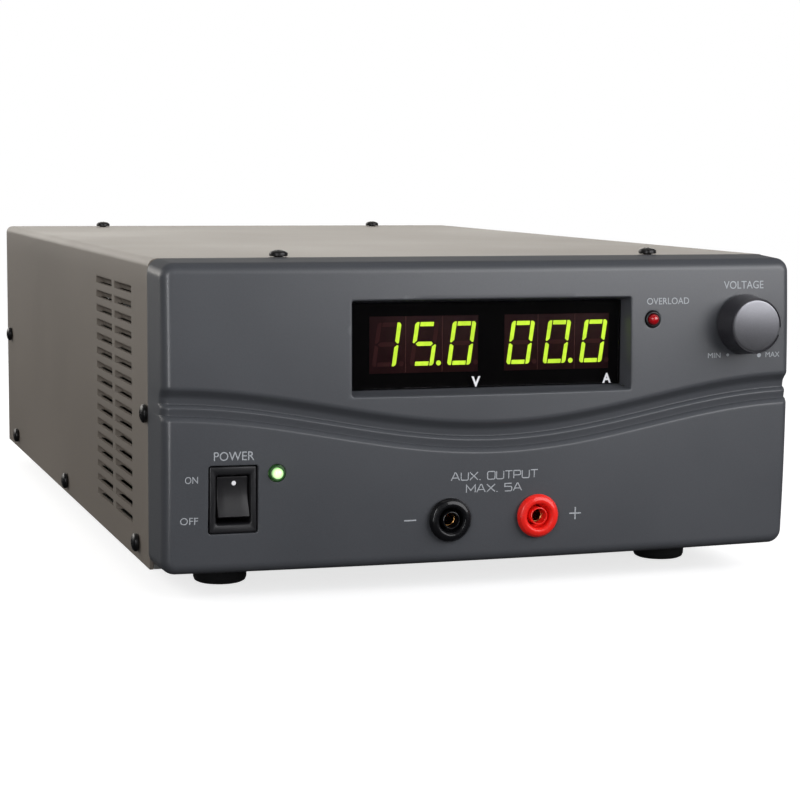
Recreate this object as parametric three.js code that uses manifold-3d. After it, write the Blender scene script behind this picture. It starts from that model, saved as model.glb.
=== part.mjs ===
// Bench power supply: a folded steel case with a moulded front bezel, a display window, a voltage knob,
// a power rocker, two auxiliary sockets, and a rear panel with a fan, a mains inlet, a fuse holder and
// two heavy output terminals.
// Millimetres, +X right seen from the front, +Y towards the back, +Z up.
// The model is drawn about a plane just behind the seam between bezel and cover (y = 0) and the lower edge of the cover
// (z = 0), and is moved at the end so that the origin is under the middle of the whole object.
import * as THREE from 'three';
import { mergeVertices } from 'three/addons/utils/BufferGeometryUtils.js';
import Module from 'manifold-3d';

const wasm = await Module();
wasm.setup();

// ---- driving dimensions -----------------------------------------------------------------------
const CASE_W = 219;        // folded cover, outside width
const CASE_H = 100.55;     // folded cover, height of its sides
const CASE_D = 333;        // rear edge of the folded cover
const SEAM = -2.6;         // front edge of the folded cover, where it meets the bezel
const SHEET = 1.2;         // cover sheet
const BEND = 2.8;          // outer bend radius of the cover
const TRAY = 1.5;          // chassis sheet
const FOOT_H = 9.2;        // rubber feet
const FOOT_R = 9.3;
const FOOT_X = 81.2;
const FOOT_Y = [19.5, 313];
const GAP = 0.3;           // clearance between neighbouring pieces

const BZ_HALF = 110;       // bezel half width at the seam
const BZ_BOT = 1.2;        // bezel lower edge
const BZ_TOP = 100.6;      // bezel upper edge at the seam
const BZ_CORNER = 4.6;     // corner radius in the front view
const BZ_EDGE = 3.3;       // rounding of the front edge
const BZ_DEPTH = 21;       // depth of the bezel at its corners
const BULGE_X = 4.0;       // crown of the face from side to side
const BULGE_Z = 1.9;       // crown of the face from top to bottom
const BZ_WALL = 2.6;
const FACE_WALL = 5.0;

const WIN = { x: 48.5, z0: 57.05, z1: 87.67, draft: 0.15 };   // display window at the face
const LENS_Y = -19.5;      // front of the display lens
const LOUVRE = { z0: 90.1, pitch: 5.14, rows: 16, h: 2.4, cols: [[26.0, 57.0], [61.6, 92.4]], deep: 2.4 };

const KNOB = { x: 90.5, z: 77.9, r0: 9.9, r1: 8.9, y0: -24.6, y1: -34.0 };
const SWITCH = { x: -86.9, z: 25.2, w: 15.9, h: 21.9 };
const LED_P = { x: -72.9, z: 33.3 };
const LED_O = { x: 56.3, z: 80.1 };
const JACK = { x: 15.3, z: 16.0, r: 7.2, well: 4.1 };

const REAR_Y = CASE_D - 1; // outside face of the rear wall
const FAN = { x: -52, z: 51, half: 40, r: 38.3, pitch: 35.75, depth: 25 };
const INLET = { x: 80, z: 27 };
const FUSE = { x: 80, z: 66 };
const TERM = { xs: [14, 46], z: 34 };

// ---- helpers ----------------------------------------------------------------------------------
function solid(geometry) {
  const g0 = geometry.index ? geometry.clone() : geometry.clone();
  g0.deleteAttribute('normal');
  g0.deleteAttribute('uv');
  const g = mergeVertices(g0, 1e-4);
  const pos = g.attributes.position.array;
  const idx = [];
  const src = g.index.array;
  let vol = 0;
  for (let i = 0; i < src.length; i += 3) {
    const a = src[i], b = src[i + 1], c = src[i + 2];
    if (a === b || b === c || a === c) continue;
    idx.push(a, b, c);
    const A = new THREE.Vector3().fromArray(pos, 3 * a);
    const B = new THREE.Vector3().fromArray(pos, 3 * b);
    const C = new THREE.Vector3().fromArray(pos, 3 * c);
    vol += A.dot(B.cross(C));
  }
  if (vol < 0) for (let i = 0; i < idx.length; i += 3) [idx[i], idx[i + 1]] = [idx[i + 1], idx[i]];
  return new wasm.Manifold(new wasm.Mesh({
    numProp: 3, vertProperties: new Float32Array(pos), triVerts: new Uint32Array(idx),
  }));
}
function toGeometry(m) {
  const mesh = m.getMesh();
  const g = new THREE.BufferGeometry();
  const v = mesh.vertProperties;
  const n = mesh.numProp;
  const p = new Float32Array((v.length / n) * 3);
  for (let i = 0; i < v.length / n; i++) for (let k = 0; k < 3; k++) p[3 * i + k] = v[n * i + k];
  g.setAttribute('position', new THREE.BufferAttribute(p, 3));
  g.setIndex(new THREE.BufferAttribute(new Uint32Array(mesh.triVerts), 1));
  return g;
}
const box = (x0, x1, y0, y1, z0, z1) =>
  solid(new THREE.BoxGeometry(x1 - x0, y1 - y0, z1 - z0).translate((x0 + x1) / 2, (y0 + y1) / 2, (z0 + z1) / 2));
// cylinder along Y from y0 to y1, radius ra at y0 and rb at y1
const cylY = (x, z, y0, y1, ra, rb = ra, seg = 20) =>
  solid(new THREE.CylinderGeometry(rb, ra, y1 - y0, seg).translate(x, (y0 + y1) / 2, z));
const cylZ = (x, y, z0, z1, r, rb = r, seg = 20) =>
  solid(new THREE.CylinderGeometry(rb, r, z1 - z0, seg).rotateX(Math.PI / 2).translate(x, y, (z0 + z1) / 2));
const cylX = (y, z, x0, x1, r, seg = 12) =>
  solid(new THREE.CylinderGeometry(r, r, x1 - x0, seg).rotateZ(-Math.PI / 2).translate((x0 + x1) / 2, y, z));
// lathe about the Y axis through (x, z): pts are [radius, y], starting and ending on the axis or closed
const latheY = (pts, x, z, seg = 20) =>
  solid(new THREE.LatheGeometry(pts.map((p) => new THREE.Vector2(p[0], p[1])), seg).translate(x, 0, z));
const latheZ = (pts, x, y, seg = 20) =>
  solid(new THREE.LatheGeometry(pts.map((p) => new THREE.Vector2(p[0], p[1])), seg).rotateX(Math.PI / 2).translate(x, y, 0));
// outline in X-Z, extruded along Y from y0 to y1
function extrudeY(pts, y0, y1) {
  const s = new THREE.Shape(pts.map((p) => new THREE.Vector2(p[0], p[1])));
  const g = new THREE.ExtrudeGeometry(s, { depth: y1 - y0, bevelEnabled: false });
  g.rotateX(Math.PI / 2);            // (x, y, z) -> (x, -z, y)
  g.translate(0, y1, 0);
  return solid(g);
}
// outline in X-Y, extruded along Z
function extrudeZ(pts, z0, z1) {
  const s = new THREE.Shape(pts.map((p) => new THREE.Vector2(p[0], p[1])));
  return solid(new THREE.ExtrudeGeometry(s, { depth: z1 - z0, bevelEnabled: false }).translate(0, 0, z0));
}
const union = (...ms) => ms.reduce((a, b) => a.add(b));
const cut = (a, ...ms) => ms.reduce((m, b) => m.subtract(b), a);
// box whose vertices are moved: fn gets the unit coordinates (-0.5..0.5) and returns [x, y, z]
function morphBox(nx, ny, nz, fn) {
  const g = new THREE.BoxGeometry(1, 1, 1, nx, ny, nz);
  const p = g.attributes.position;
  for (let i = 0; i < p.count; i++) {
    const q = fn(p.getX(i), p.getY(i), p.getZ(i));
    p.setXYZ(i, q[0], q[1], q[2]);
  }
  return solid(g);
}

const group = new THREE.Group();
const parts = {};
function add(name, m, color, roughness = 0.6, metalness = 0) {
  const mesh = new THREE.Mesh(toGeometry(m), new THREE.MeshStandardMaterial({ color, roughness, metalness }));
  mesh.name = name;
  group.add(mesh);
  parts[name] = mesh;
}

// ---- the shape of the bezel face ----------------------------------------------------------------
const ZC = 50.5, ZH = 50;
const face = (x, z) => -(BZ_DEPTH + BULGE_X * (1 - (x / BZ_HALF) ** 2) + BULGE_Z * (1 - ((z - ZC) / ZH) ** 2));
// upper edge of the styling groove: a shallow smile across the face
const grooveTop = (x) => 48.3 + 12.9 * (1 - Math.cos((Math.PI * x) / BZ_HALF)) / 2;
// [distance below the upper edge, depth]
const GROOVE = [[0, 0], [1.0, 0.45], [2.1, 1.7], [3.2, 2.6], [5.4, 2.45], [6.1, 1.95], [6.8, 1.35],
  [9.3, 1.25], [10.3, 0.6], [11.3, 0.08], [12.0, 0]];
function groove(x, z) {
  const s = grooveTop(x) - z;
  if (s <= 0 || s >= 12) return 0;
  for (let i = 1; i < GROOVE.length; i++) {
    if (s <= GROOVE[i][0]) {
      const [a, da] = GROOVE[i - 1], [b, db] = GROOVE[i];
      return da + ((db - da) * (s - a)) / (b - a);
    }
  }
  return 0;
}

// ---- front bezel ---------------------------------------------------------------------------------
const EDGE = [0, 0.5, 1.7, 3.3, BZ_CORNER];
function bezelOuter() {
  const inner = 14;                     // columns between the corners
  const nx = 2 * (EDGE.length - 1) + inner;
  const low = 2, high = 3;              // rows below and above the groove
  const nz = 2 * (EDGE.length - 1) + low + high + GROOVE.length - 1;
  const E = EDGE.length - 1;
  const fillet = (d) => (d >= BZ_EDGE ? 0 : BZ_EDGE - Math.sqrt(BZ_EDGE ** 2 - (BZ_EDGE - d) ** 2));
  return morphBox(nx, 1, nz, (u, v, w) => {
    const back = v > 0;
    const i = Math.round((u + 0.5) * nx), k = Math.round((w + 0.5) * nz);
    const half = back ? BZ_HALF : BZ_HALF - 0.6;
    const zt = back ? BZ_TOP : BZ_TOP - 0.7, zb = BZ_BOT;
    // column position and its distance from the side
    let x, ex = 99;
    if (i <= E) { ex = EDGE[i]; x = -half + ex; }
    else if (i >= nx - E) { ex = EDGE[nx - i]; x = half - ex; }
    else x = -half + BZ_CORNER + ((2 * half - 2 * BZ_CORNER) * (i - E)) / inner;
    let z, ez = 99;
    const zs = grooveTop(Math.max(-half, Math.min(half, x)));
    const k1 = E + low, k2 = k1 + GROOVE.length - 1;
    if (k <= E) { ez = EDGE[k]; z = zb + ez; }
    else if (k >= nz - E) { ez = EDGE[nz - k]; z = zt - ez; }
    else if (k < k1) { const a = zb + BZ_CORNER, b = zs - 12; z = a + ((b - a) * (k - E)) / low; }
    else if (k <= k2) z = zs - GROOVE[GROOVE.length - 1 - (k - k1)][0];
    else { const b = zt - BZ_CORNER; z = zs + ((b - zs) * (k - k2)) / high; }
    let d = Math.min(ex, ez);
    if (ex <= BZ_CORNER && ez <= BZ_CORNER) {   // round the corner in the front view
      const a = BZ_CORNER - ex, b = BZ_CORNER - ez, m = Math.max(a, b), l = Math.hypot(a, b);
      if (l > 0) {
        x = Math.sign(x) * (half - BZ_CORNER + (a * m) / l);
        z = k <= E ? zb + BZ_CORNER - (b * m) / l : zt - BZ_CORNER + (b * m) / l;
      }
      d = BZ_CORNER - m;
    }
    if (back) return [x, SEAM - 0.4, z];
    return [x, face(x, z) + groove(x, z) + fillet(d), z];
  });
}
const bezelCavity = morphBox(6, 1, 2, (u, v, w) => {
  const x = u * 2 * (BZ_HALF - BZ_WALL - 0.4), z = 50.9 + w * (BZ_TOP - BZ_BOT - 2 * BZ_WALL - 0.6);
  return v > 0 ? [x, 3, z] : [x, face(x, z) + FACE_WALL, z];
});
// tapered window: larger at the face
const winAt = (y, grow) => {
  const s = (y - -25.6) * -WIN.draft + grow;     // half-size change relative to the face
  return { x: WIN.x + s, z0: WIN.z0 - s, z1: WIN.z1 + s };
};
function taper(yFront, yBack, grow = 0) {
  return morphBox(1, 1, 1, (u, v, w) => {
    const y = v > 0 ? yBack : yFront;
    const r = winAt(y, grow);
    return [u > 0 ? r.x : -r.x, y, w > 0 ? r.z1 : r.z0];
  });
}
{
  let b = cut(bezelOuter(), bezelCavity);
  b = b.add(box(-WIN.x - 3, WIN.x + 3, -23.5, -17.4, WIN.z0 - 2.6, WIN.z1 + 2.6));
  b = b.subtract(taper(-32, -16));
  // posts behind the face that stand against the chassis
  for (const [x, z] of [[-98, 88], [98, 92], [-98, 8.5], [98, 8.5]]) b = b.add(cylY(x, z, -20.2, SEAM, 3.6, 3.4, 12));
  b = cut(b,
    box(SWITCH.x - SWITCH.w / 2, SWITCH.x + SWITCH.w / 2, -32, -10, SWITCH.z - SWITCH.h / 2, SWITCH.z + SWITCH.h / 2),
    cylY(LED_P.x, LED_P.z, -32, -10, 2.9, 2.9, 16),
    cylY(LED_O.x, LED_O.z, -32, -10, 2.9, 2.9, 16),
    cylY(KNOB.x, KNOB.z, -32, -10, 3.8, 3.8, 16),
    cylY(-JACK.x, JACK.z, -32, -10, 6.2, 6.2, 20),
    cylY(JACK.x, JACK.z, -32, -10, 6.2, 6.2, 20));
  add('front_bezel', b, 0x4b4d52, 0.55);
}

// ---- display -------------------------------------------------------------------------------------
{
  const r = winAt(LENS_Y, -GAP);
  const chamf = 0.4;
  add('display_lens', morphBox(3, 2, 3, (u, v, w) => {
    const f = v < -0.25 ? 1 : 0;                    // front ring is drawn in by the chamfer
    const y = v < -0.25 ? LENS_Y : v > 0.25 ? LENS_Y + 2.0 : LENS_Y + chamf;
    const c = f * chamf;
    const X = Math.abs(u) > 0.4 ? r.x - c : r.x - 1.2;
    const s = Math.abs(w) > 0.4;
    const Z = w > 0 ? (s ? r.z1 - c : r.z1 - 1.2) : (s ? r.z0 + c : r.z0 + 1.2);
    return [Math.sign(u) * X, y, Z];
  }), 0x050506, 0.15);
}
const MODY = LENS_Y + 2.0 + GAP;
add('voltage_digits', box(-40.3, -2.6, MODY, MODY + 8, 63.3, 82.0), 0x2c1a1c, 0.5);
add('current_digits', box(6.3, 44.0, MODY, MODY + 8, 63.3, 82.0), 0x2c1a1c, 0.5);
const BRDY = MODY + 8 + GAP;
add('display_board', cut(box(-60, 66, BRDY, BRDY + 1.6, 52, 90), cylY(60, 56, BRDY - 1, BRDY + 3, 1.7, 1.7, 10),
  cylY(-55, 56, BRDY - 1, BRDY + 3, 1.7, 1.7, 10)), 0x1f5a34, 0.6);

// indicator lamps: collar in the face, dome in front, body behind
const led = (x, z, back) => {
  const f = face(x, z);
  return latheY([[0, back], [1.9, back], [1.9, f + 3], [2.6, f + 3], [2.6, f - 0.6], [1.8, f - 0.6],
    [1.7, f - 1.5], [0.9, f - 2.3], [0, f - 2.4]], x, z, 12);
};
add('power_led', led(LED_P.x, LED_P.z, -15), 0x33ff55, 0.3);
add('overload_led', led(LED_O.x, LED_O.z, BRDY - GAP), 0x5a1512, 0.3);

// ---- voltage control -----------------------------------------------------------------------------
{
  const f = face(KNOB.x, KNOB.z);
  add('voltage_pot', cut(union(cylY(KNOB.x, KNOB.z, -17.0, -9.5, 8.2, 8.2, 24), cylY(KNOB.x, KNOB.z, -26.6, -16.9, 3.5, 3.5, 16)),
    cylY(KNOB.x, KNOB.z, -30, -13, 3.3, 3.3, 16), box(KNOB.x - 10, KNOB.x + 10, -12, -9, KNOB.z - 10, KNOB.z - 6.8)), 0x9a9a98, 0.4, 0.8);
  add('pot_nut', cut(cylY(KNOB.x, KNOB.z, f - 2.6, f - 0.65, 5.6, 5.6, 6), cylY(KNOB.x, KNOB.z, f - 4, f + 2, 3.8, 3.8, 12)), 0xb9b9b4, 0.35, 0.9);
  add('pot_shaft', cylY(KNOB.x, KNOB.z, -31.2, -13.4, 3.0, 3.0, 16), 0xb9b9b4, 0.35, 0.9);
  const k = latheY([[3.3, KNOB.y0 - 3.5], [6.9, KNOB.y0 - 3.5], [6.9, KNOB.y0], [KNOB.r0, KNOB.y0], [KNOB.r1, KNOB.y1 + 0.7],
    [KNOB.r1 - 0.7, KNOB.y1], [0, KNOB.y1 - 0.25], [0, -31.5], [3.3, -31.5], [3.3, KNOB.y0 - 3.5]],
  KNOB.x, KNOB.z, 28);
  // the pointer: a nick in the rim that stands a little below three o'clock
  const a = THREE.MathUtils.degToRad(-7.5);
  const nick = solid(new THREE.BoxGeometry(1.6, 4, 0.9).translate(9.1, KNOB.y1 + 0.6, 0).rotateY(-a).translate(KNOB.x, 0, KNOB.z));
  add('voltage_knob', k.subtract(nick), 0x1a1a1c, 0.35);
}

// ---- power switch --------------------------------------------------------------------------------
const SWF = face(SWITCH.x, SWITCH.z);            // face height at the switch
const PIV = { y: SWF + 5.2, z: SWITCH.z };
{
  const { x, z } = SWITCH;
  let b = box(x - 7.65, x + 7.65, SWF + 0.2, SWF + 2.4, z - 10.65, z + 10.65);
  b = b.add(box(x - 6.9, x + 6.9, SWF + 2.0, SWF + 16, z - 9.6, z + 9.6));
  b = b.subtract(box(x - 5.7, x + 5.7, SWF - 1, SWF + 13, z - 8.5, z + 8.5));
  for (const dz of [-5, 5]) b = b.add(box(x - 3.1, x + 3.1, SWF + 15.5, SWF + 20.5, z + dz - 0.4, z + dz + 0.4));
  add('switch_body', b, 0x151516, 0.5);
  // the rocker: two shallow wings over a round back; its upper half is pressed in at rest
  const pts = [];
  const tilt = THREE.MathUtils.degToRad(11);
  const P = (s, h) => {               // s along the face, h out of the face, before tilting
    const c = Math.cos(tilt), t = Math.sin(tilt);
    // the upper end (positive s) goes in by the tilt
    return [-(h * c - s * t), s * c + h * t];
  };
  for (const [s, h] of [[-7.5, 4.2], [-7.2, 4.9], [-4, 4.25], [0, 3.9], [4, 4.25], [7.2, 4.9], [7.5, 4.2], [6.8, -0.5], [3, -3.6], [-3, -3.6], [-6.8, -0.5]]) pts.push(P(s, h));
  // outline in (y, z), extruded along x
  const s = new THREE.Shape(pts.map((p) => new THREE.Vector2(p[0], p[1])));
  const g = new THREE.ExtrudeGeometry(s, { depth: 10.8, bevelEnabled: false });
  g.rotateY(Math.PI / 2).rotateX(Math.PI / 2);     // shape x -> y, shape y -> z, depth -> x
  g.translate(x - 5.4, PIV.y, PIV.z);
  add('power_rocker', solid(g), 0x121213, 0.45);
}

// ---- auxiliary output sockets ----------------------------------------------------------------------
for (const [sx, id, colour] of [[-1, 'negative', 0x0c0c0d], [1, 'positive', 0x7c1512]]) {
  const x = sx * JACK.x, z = JACK.z, f = face(x, z);
  const w = JACK.well;
  add(`aux_socket_${id}`, latheY([[0, f + 19], [5.6, f + 19], [5.6, f - 0.65], [JACK.r, f - 0.65], [JACK.r, f - 1.4], [6.3, f - 2.5],
    [w + 0.5, f - 2.8], [w, f - 2.4], [w, f + 13], [0, f + 13]], x, z, 20), colour, 0.25);
  add(`aux_contact_${id}`, latheY([[2.05, f + 0.2], [2.8, f + 0.2], [2.8, f + 12.7], [2.05, f + 12.7], [2.05, f + 0.2]], x, z, 14), 0xb8893a, 0.3, 0.9);
}

// ---- folded cover ----------------------------------------------------------------------------------
{
  const W = CASE_W / 2, H = CASE_H, t = SHEET;
  const arc = (cx, cz, r, a0, a1, n) => Array.from({ length: n + 1 }, (_, i) => {
    const a = THREE.MathUtils.degToRad(a0 + ((a1 - a0) * i) / n);
    return [cx + r * Math.cos(a), cz + r * Math.sin(a)];
  });
  const pts = [[W, 0], ...arc(W - BEND, H - BEND, BEND, 0, 90, 4), ...arc(-W + BEND, H - BEND, BEND, 90, 180, 4), [-W, 0], [-W + t, 0],
    ...arc(-W + BEND, H - BEND, BEND - t, 180, 90, 3), ...arc(W - BEND, H - BEND, BEND - t, 90, 0, 3), [W - t, 0]];
  let c = extrudeY(pts, SEAM, CASE_D);
  // louvres: each is lanced along its lower edge and pressed inwards, leaving a gap into the case
  for (const sx of [-1, 1]) {
    const X = (d) => sx * (W - d);
    let tongues = null, pockets = null;
    for (const [y0, y1] of LOUVRE.cols) {
      for (let i = 0; i < LOUVRE.rows; i++) {
        const zt = LOUVRE.z0 - LOUVRE.pitch * i, zb = zt - LOUVRE.h, D = LOUVRE.deep;
        const tg = extrudeY([[X(0.6), zt + 0.8], [X(D + 0.1), zt + 0.4], [X(D + 1.1), zb], [X(0.6), zb]], y0 - 1.1, y1 + 1.1);
        const pk = extrudeY([[X(-1), zt + 0.3], [X(1.3), zt - 0.5], [X(D), zb - 0.01], [X(-1), zb - 0.01]], y0, y1);
        tongues = tongues ? tongues.add(tg) : tg;
        pockets = pockets ? pockets.add(pk) : pk;
      }
    }
    c = c.add(tongues).subtract(pockets);
  }
  for (const s of coverScrews()) c = c.subtract(screwHole(s, 1.9));
  add('top_cover', c, 0x8f8982, 0.5, 0.2);
}
function coverScrews() {
  const W = CASE_W / 2, out = [];
  for (const sx of [-1, 1]) {
    const side = sx < 0 ? 'left' : 'right';
    out.push({ name: `screw_top_front_${side}`, dir: 'z', x: sx * 65.8, y: 0.7 });
    out.push({ name: `screw_top_rear_${side}`, dir: 'z', x: sx * 66.2, y: 320.1 });
    out.push({ name: `screw_${side}_front_mid`, dir: 'x', sx, y: 0.8, z: 50.5 });
    out.push({ name: `screw_${side}_front_low`, dir: 'x', sx, y: 16.5, z: 5.7 });
    out.push({ name: `screw_${side}_mid_low`, dir: 'x', sx, y: 162, z: 5.0 });
    out.push({ name: `screw_${side}_rear_low`, dir: 'x', sx, y: 301, z: 5.7 });
    out.push({ name: `screw_${side}_rear_mid`, dir: 'x', sx, y: 319.2, z: 51 });
  }
  return out;
}
function screwHole(s, r) {
  const W = CASE_W / 2;
  if (s.dir === 'z') return cylZ(s.x, s.y, CASE_H - 6, CASE_H + 3, r, r, 8);
  return s.sx > 0 ? cylX(s.y, s.z, W - 6, W + 3, r, 8) : cylX(s.y, s.z, -W - 3, -W + 6, r, 8);
}
// pan head screw: head height 2.2, radius 3.05, thread radius 1.6; the recess is a plain countersunk cross
function panScrew(len = 5.2, R = 3.05) {
  return [[0, -len], [1.6, -len], [1.6, GAP], [R, GAP], [R, 1.1], [R - 1.1, 2.2], [0, 2.4]];
}
for (const s of coverScrews()) {
  const g = new THREE.LatheGeometry(panScrew().map((p) => new THREE.Vector2(p[0], p[1])), 8);
  const W = CASE_W / 2;
  if (s.dir === 'z') g.rotateX(Math.PI / 2).translate(s.x, s.y, CASE_H);
  else g.rotateZ(s.sx > 0 ? -Math.PI / 2 : Math.PI / 2).translate(s.sx * W, s.y, s.z);
  add(s.name, solid(g), 0x141414, 0.35, 0.6);
}

// ---- chassis: tray, front and rear walls in one folded sheet -----------------------------------------
{
  const X = CASE_W / 2 - SHEET - GAP, t = TRAY, top = CASE_H - SHEET - GAP;
  const F0 = SEAM + GAP, R1 = REAR_Y;
  let c = box(-X, X, F0, R1, 0, t);                                            // floor
  c = union(c,
    box(-X, -X + t, F0, R1, 0, 9.4), box(X - t, X, F0, R1, 0, 9.4),             // low side flanges
    box(-X, X, F0, F0 + t, 0, top - 3), box(-X, X, R1 - t, R1, 0, top - 3), box(-X + 3, X - 3, F0, F0 + t, 0, top), box(-X + 3, X - 3, R1 - t, R1, 0, top),            // front and rear walls
    box(-X, -X + t, F0, F0 + 13, 0, top - 3), box(X - t, X, F0, F0 + 13, 0, top - 3),
    box(-X, -X + t, R1 - 17, R1, 0, top - 3), box(X - t, X, R1 - 17, R1, 0, top - 3),
    box(-100, 100, F0, F0 + 21, top - t, top), box(-100, 100, R1 - 19, R1, top - t, top));
  for (const [x, y] of [[-88, 40], [88, 40], [-88, 270], [88, 270]]) c = c.add(cylZ(x, y, 1, 7.7, 3.2, 3.2, 10));
  // wiring opening in the front wall, and the rear cut-outs
  c = cut(c,
    box(-72, 72, F0 - 3, F0 + 4, 24, 86),
    cylY(FAN.x, FAN.z, R1 - 5, R1 + 3, 38, 38, 28),
    box(INLET.x - 13.7, INLET.x + 13.7, R1 - 5, R1 + 3, INLET.z - 10.1, INLET.z + 10.1),
    cylY(FUSE.x, FUSE.z, R1 - 5, R1 + 3, 6.5, 6.5, 16));
  for (const x of TERM.xs) c = c.subtract(cylY(x, TERM.z, R1 - 5, R1 + 3, 6.4, 6.4, 16));
  for (const sx of [-1, 1]) for (const sz of [-1, 1]) c = c.subtract(cylY(FAN.x + sx * FAN.pitch, FAN.z + sz * FAN.pitch, R1 - 5, R1 + 3, 2.2, 2.2, 8));
  for (const s of coverScrews()) c = c.subtract(screwHole(s, 1.9));
  for (const sx of [-1, 1]) for (const y of FOOT_Y) c = c.subtract(cylZ(sx * FOOT_X, y, -3, 3, 2.6, 2.6, 10));
  add('chassis', c, 0xa9aba8, 0.4, 0.8);
}

// ---- feet ------------------------------------------------------------------------------------------
for (const sx of [-1, 1]) for (const [j, y] of FOOT_Y.entries()) {
  add(`foot_${j ? 'rear' : 'front'}_${sx < 0 ? 'left' : 'right'}`,
    latheZ([[0, -FOOT_H], [FOOT_R - 1.4, -FOOT_H], [FOOT_R - 0.5, -FOOT_H + 0.9], [FOOT_R, -GAP], [2.3, -GAP], [2.3, TRAY + 0.4], [3.2, TRAY + 0.4],
      [0, TRAY + 2.8]], sx * FOOT_X, y, 18), 0x151515, 0.85);
}

// ---- cooling fan -------------------------------------------------------------------------------------
{
  const { x, z, half, r, pitch, depth } = FAN;
  const y1 = REAR_Y - TRAY - GAP, y0 = y1 - depth;
  const c = 4, h = half;
  let f = extrudeY([[x - h + c, z - h], [x + h - c, z - h], [x + h, z - h + c], [x + h, z + h - c], [x + h - c, z + h], [x - h + c, z + h], [x - h, z + h - c], [x - h, z - h + c]], y0, y1);
  f = f.subtract(cylY(x, z, y0 - 1, y1 + 1, r, r, 28));
  // the middle of the sides is relieved between the two corner flanges
  for (const [a, b, c2, d] of [[x - 27, x + 27, z + 38.9, z + 42], [x - 27, x + 27, z - 42, z - 38.9], [x + 38.9, x + 42, z - 27, z + 27], [x - 42, x - 38.9, z - 27, z + 27]])
    f = f.subtract(box(a, b, y0 + 4, y1 - 4, c2, d));
  f = f.add(cylY(x, z, y0, y0 + 4, 17, 17, 24));
  for (const a of [45, 135, 225, 315]) f = f.add(solid(new THREE.BoxGeometry(24, 3, 3).translate(28, 0, 0).rotateY((a * Math.PI) / 180).translate(x, y0 + 1.5, z)));
  f = f.subtract(cylY(x, z, y0 + 1.5, y0 + 6, 2.3, 2.3, 10));
  for (const sx of [-1, 1]) for (const sz of [-1, 1]) f = f.subtract(cylY(x + sx * pitch, z + sz * pitch, y0 - 1, y1 + 1, 2.2, 2.2, 8));
  add('fan_frame', f, 0x141414, 0.6);

  // rotor: cup, seven swept blades, short spindle
  const ya = y0 + 4.5, yb = y1 - 1.2;
  let rot = union(cylY(x, z, ya, yb, 17.4, 16.9, 24), cylY(x, z, y0 + 1.8, ya + 1, 1.7, 1.7, 10));
  const N = 7;
  for (let i = 0; i < N; i++) {
    const blade = morphBox(3, 1, 1, (u, v, w) => {
      const rr = 16 + (u + 0.5) * 20.9;              // radius
      const pitchA = 0.75 - 0.25 * (u + 0.5);        // blade angle
      const s = w * 17;                              // along the chord
      const th = v * 1.5;
      const sweep = 0.35 * ((u + 0.5) ** 1.5);
      const t = (s * Math.cos(pitchA) - th * Math.sin(pitchA)) / rr + sweep + (i * 2 * Math.PI) / N;
      const y = (ya + yb) / 2 + s * Math.sin(pitchA) + th * Math.cos(pitchA);
      return [x + rr * Math.cos(t), y, z + rr * Math.sin(t)];
    });
    rot = rot.add(blade);
  }
  add('fan_rotor', rot, 0x1b1b1c, 0.5);

  // finger guard: rings and spokes of wire, with four eyes
  const yg = REAR_Y + GAP;
  const ring = (R, y) => latheY([[R - 0.8, y], [R + 0.8, y], [R + 0.8, y + 1.6], [R - 0.8, y + 1.6], [R - 0.8, y]], x, z, 20);
  let g = null;
  for (const R of [19, 28.3, 37.6]) { const q = ring(R, yg + 1.7); g = g ? g.add(q) : q; }
  for (const a of [45, 135, 225, 315]) {
    const rad = (a * Math.PI) / 180;
    g = g.add(solid(new THREE.BoxGeometry(40.5, 1.6, 1.6).translate(30, 0, 0).rotateY(rad).translate(x, yg + 2.5, z)));
  }
  g = g.add(cylY(x, z, yg + 1.7, yg + 3.3, 11.2, 11.2, 16)).subtract(cylY(x, z, yg, yg + 5, 9.6, 9.6, 16));
  for (const sx of [-1, 1]) for (const sz of [-1, 1]) {
    g = g.add(cylY(x + sx * pitch, z + sz * pitch, yg, yg + 1.9, 4.0, 4.0, 10));
    g = g.subtract(cylY(x + sx * pitch, z + sz * pitch, yg - 1, yg + 5, 2.2, 2.2, 8));
    g = g.subtract(cylY(x + sx * pitch, z + sz * pitch, yg + 1.75, yg + 5, 3.7, 3.7, 8));
  }
  add('fan_guard', g, 0xc9c9c6, 0.25, 1);
  for (const sx of [-1, 1]) for (const sz of [-1, 1]) {
    const s = latheY(panScrew(12, 3.3).map((p) => [p[0], p[1] + yg + 1.7]), x + sx * pitch, z + sz * pitch, 8);
    add(`fan_screw_${sz < 0 ? 'low' : 'high'}_${sx < 0 ? 'left' : 'right'}`, s, 0x151515, 0.35, 0.6);
  }
}

// ---- mains inlet: three-pin appliance inlet with a tapered shell ----------------------------------------
{
  const { x, z } = INLET, y = REAR_Y + GAP;
  const oct = (w, h, c) => [[x - w, z - h], [x + w, z - h], [x + w, z + h - c], [x + w - c, z + h], [x - w + c, z + h], [x - w, z + h - c]];
  let b = box(x - 16, x + 16, y, y + 2.6, z - 12.4, z + 12.4);
  b = b.add(box(x - 13.4, x + 13.4, REAR_Y - 19, y + 1, z - 9.8, z + 9.8));
  b = b.subtract(extrudeY(oct(12.0, 8.2, 4.6), REAR_Y - 14.5, y + 4));
  for (const [px, pz] of [[-7, -1.6], [7, -1.6], [0, 2.4]]) b = b.add(box(x + px - 1, x + px + 1, REAR_Y - 15.5, REAR_Y - 0.5, z + pz - 2, z + pz + 2));
  for (const [px, pz] of [[-7, 0], [7, 0], [0, 0]]) b = b.add(box(x + px - 2.4, x + px + 2.4, REAR_Y - 27, REAR_Y - 18, z + pz - 0.4, z + pz + 0.4));
  add('mains_inlet', b, 0x111112, 0.5);
}

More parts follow.
